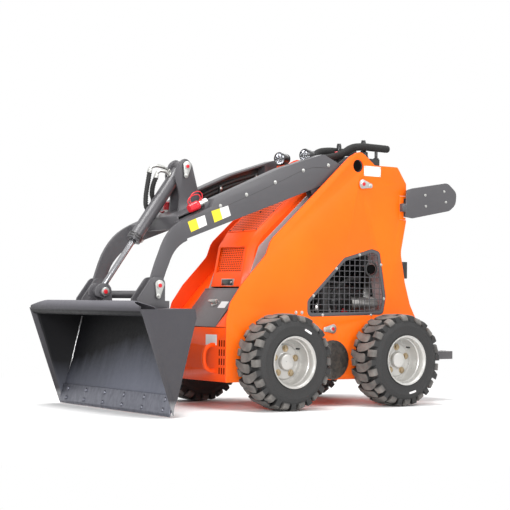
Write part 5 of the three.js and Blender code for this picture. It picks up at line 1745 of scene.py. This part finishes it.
# %% [markdown]
# Small things finish the sides: bolts in the hip pads, an orange web with a grey back in
# the notch beside them, a black door catch, a ring of six bolts in each service cover and
# three bolts in each side panel.

# %% Sides
PAD_BOLTS = [(-0.683, 1.185), (-0.688, 1.122), (-0.829, 1.213), (-0.843, 1.153)]
COVER_X, COVER_Z, COVER_FACE = -0.040, 0.253, 0.296
COVER_CIRCLE = 0.090
for side, hand in SIDES:
    pad = [bolt("pad_bolt", place(x, side * 0.318, z), (0, side, 0), 0.0062) for x, z in PAD_BOLTS]
    fitted(joined("hip_pad_bolts_" + hand, pad), "chassis", "chrome_rod")
    inner, outer = sorted((side * 0.2600, side * 0.2895))
    notch = [
        block(
            "notch_plate", place(-0.560, inner, 1.040), place(-0.512, outer, 1.0525), orange_paint, 0.001,
        ),
        block(
            "notch_plate", place(-0.560, inner, 1.1620), place(-0.512, outer, 1.1735), orange_paint, 0.001,
        ),
        block(
            "notch_web", place(-0.546, side * 0.2865 - 0.003, 1.052),
            place(-0.512, side * 0.2865 + 0.003, 1.1630), orange_paint, 0.001,
        ),
        block(
            "notch_back", place(-0.605, side * 0.262 - 0.002, 1.058),
            place(-0.545, side * 0.262 + 0.002, 1.1690), grey_paint, 0.001,
        ),
        block(
            "door_catch", place(-0.588, side * 0.262 - 0.014, 0.706),
            place(-0.548, side * 0.262 + 0.014, 0.802), black_plastic, 0.004,
        ),
        bolt("notch_bolt", place(-0.545, side * 0.264, 1.062), (0, side, 0), 0.0065),
    ]
    fitted(joined("pad_bracket_" + hand, notch), "chassis", "grey_paint")
    cover = []
    for k in range(6):
        angle = math.radians(30 + 60 * k)
        x = COVER_X + COVER_CIRCLE * math.cos(angle)
        z = COVER_Z + COVER_CIRCLE * math.sin(angle)
        cover.append(bolt("cover_bolt", place(x, side * COVER_FACE, z), (0, side, 0), 0.0068, black_paint))
    ring_line = [(0.050, -0.001), (0.056, -0.001), (0.056, 0.002), (0.050, 0.002)]
    ring_spot = place(COVER_X, side * COVER_FACE, COVER_Z)
    cover.append(turned("cover_ring", ring_line, ring_spot, (0, side, 0), black_paint, 48))
    fitted(joined("service_bolts_" + hand, cover), "chassis", "black_plastic")
    panel_bolts = [bolt("panel_bolt", place(x, side * 0.290, z), (0, side, 0), 0.0075)
                   for x, z in ((0.212, 0.510), (0.172, 0.510), (-0.600, 0.190))]
    fitted(joined("panel_bolts_" + hand, panel_bolts), "chassis", "chrome_rod")

print("sides dressed")

# %% [markdown]
# The platform gets rows of short raised treads, leaning to and fro in turn. The back has
# an orange plate, four black slats and a fuel cap.

# %% Platform and back
treads = []
for row in range(7):
    for column in range(9):
        x = -0.935 + 0.040 * row + (0.008 if column % 2 else 0)
        y = -0.20 + 0.05 * column
        lean = 0.011 if (row + column) % 2 else -0.011
        ends = place(x - 0.011, y - lean, 0.2885), place(x + 0.011, y + lean, 0.2885)
        treads.append(bar("tread", *ends, 0.0026, grey_paint, 0, 8))
fitted(joined("platform_treads", treads), "chassis", "grey_paint")
rear = [block("rear_plate", place(-0.606, -0.1680, 0.300), place(-0.600, 0.1680, 0.452), orange_paint, 0.002)]
for z in (0.56, 0.63, 0.70, 0.77):
    x = -0.566 + (z - 0.56) * 0.205
    rear.append(
        block(
            "rear_slat", place(x - 0.012, -0.120, z), place(x - 0.004, 0.120, z + 0.030), black_paint,
            0.002,
        )
    )
rear.append(turned(
    "fuel_cap", [(0.0, 0.0), (0.034, 0.0), (0.034, 0.020), (0.030, 0.024), (0.0, 0.025)],
    place(-0.519, 0.090, 1.000), (-1, 0, 0), black_plastic, 40,
))
fitted(joined("rear_details", rear), "chassis", "black_plastic")
print("treads:", len(treads))
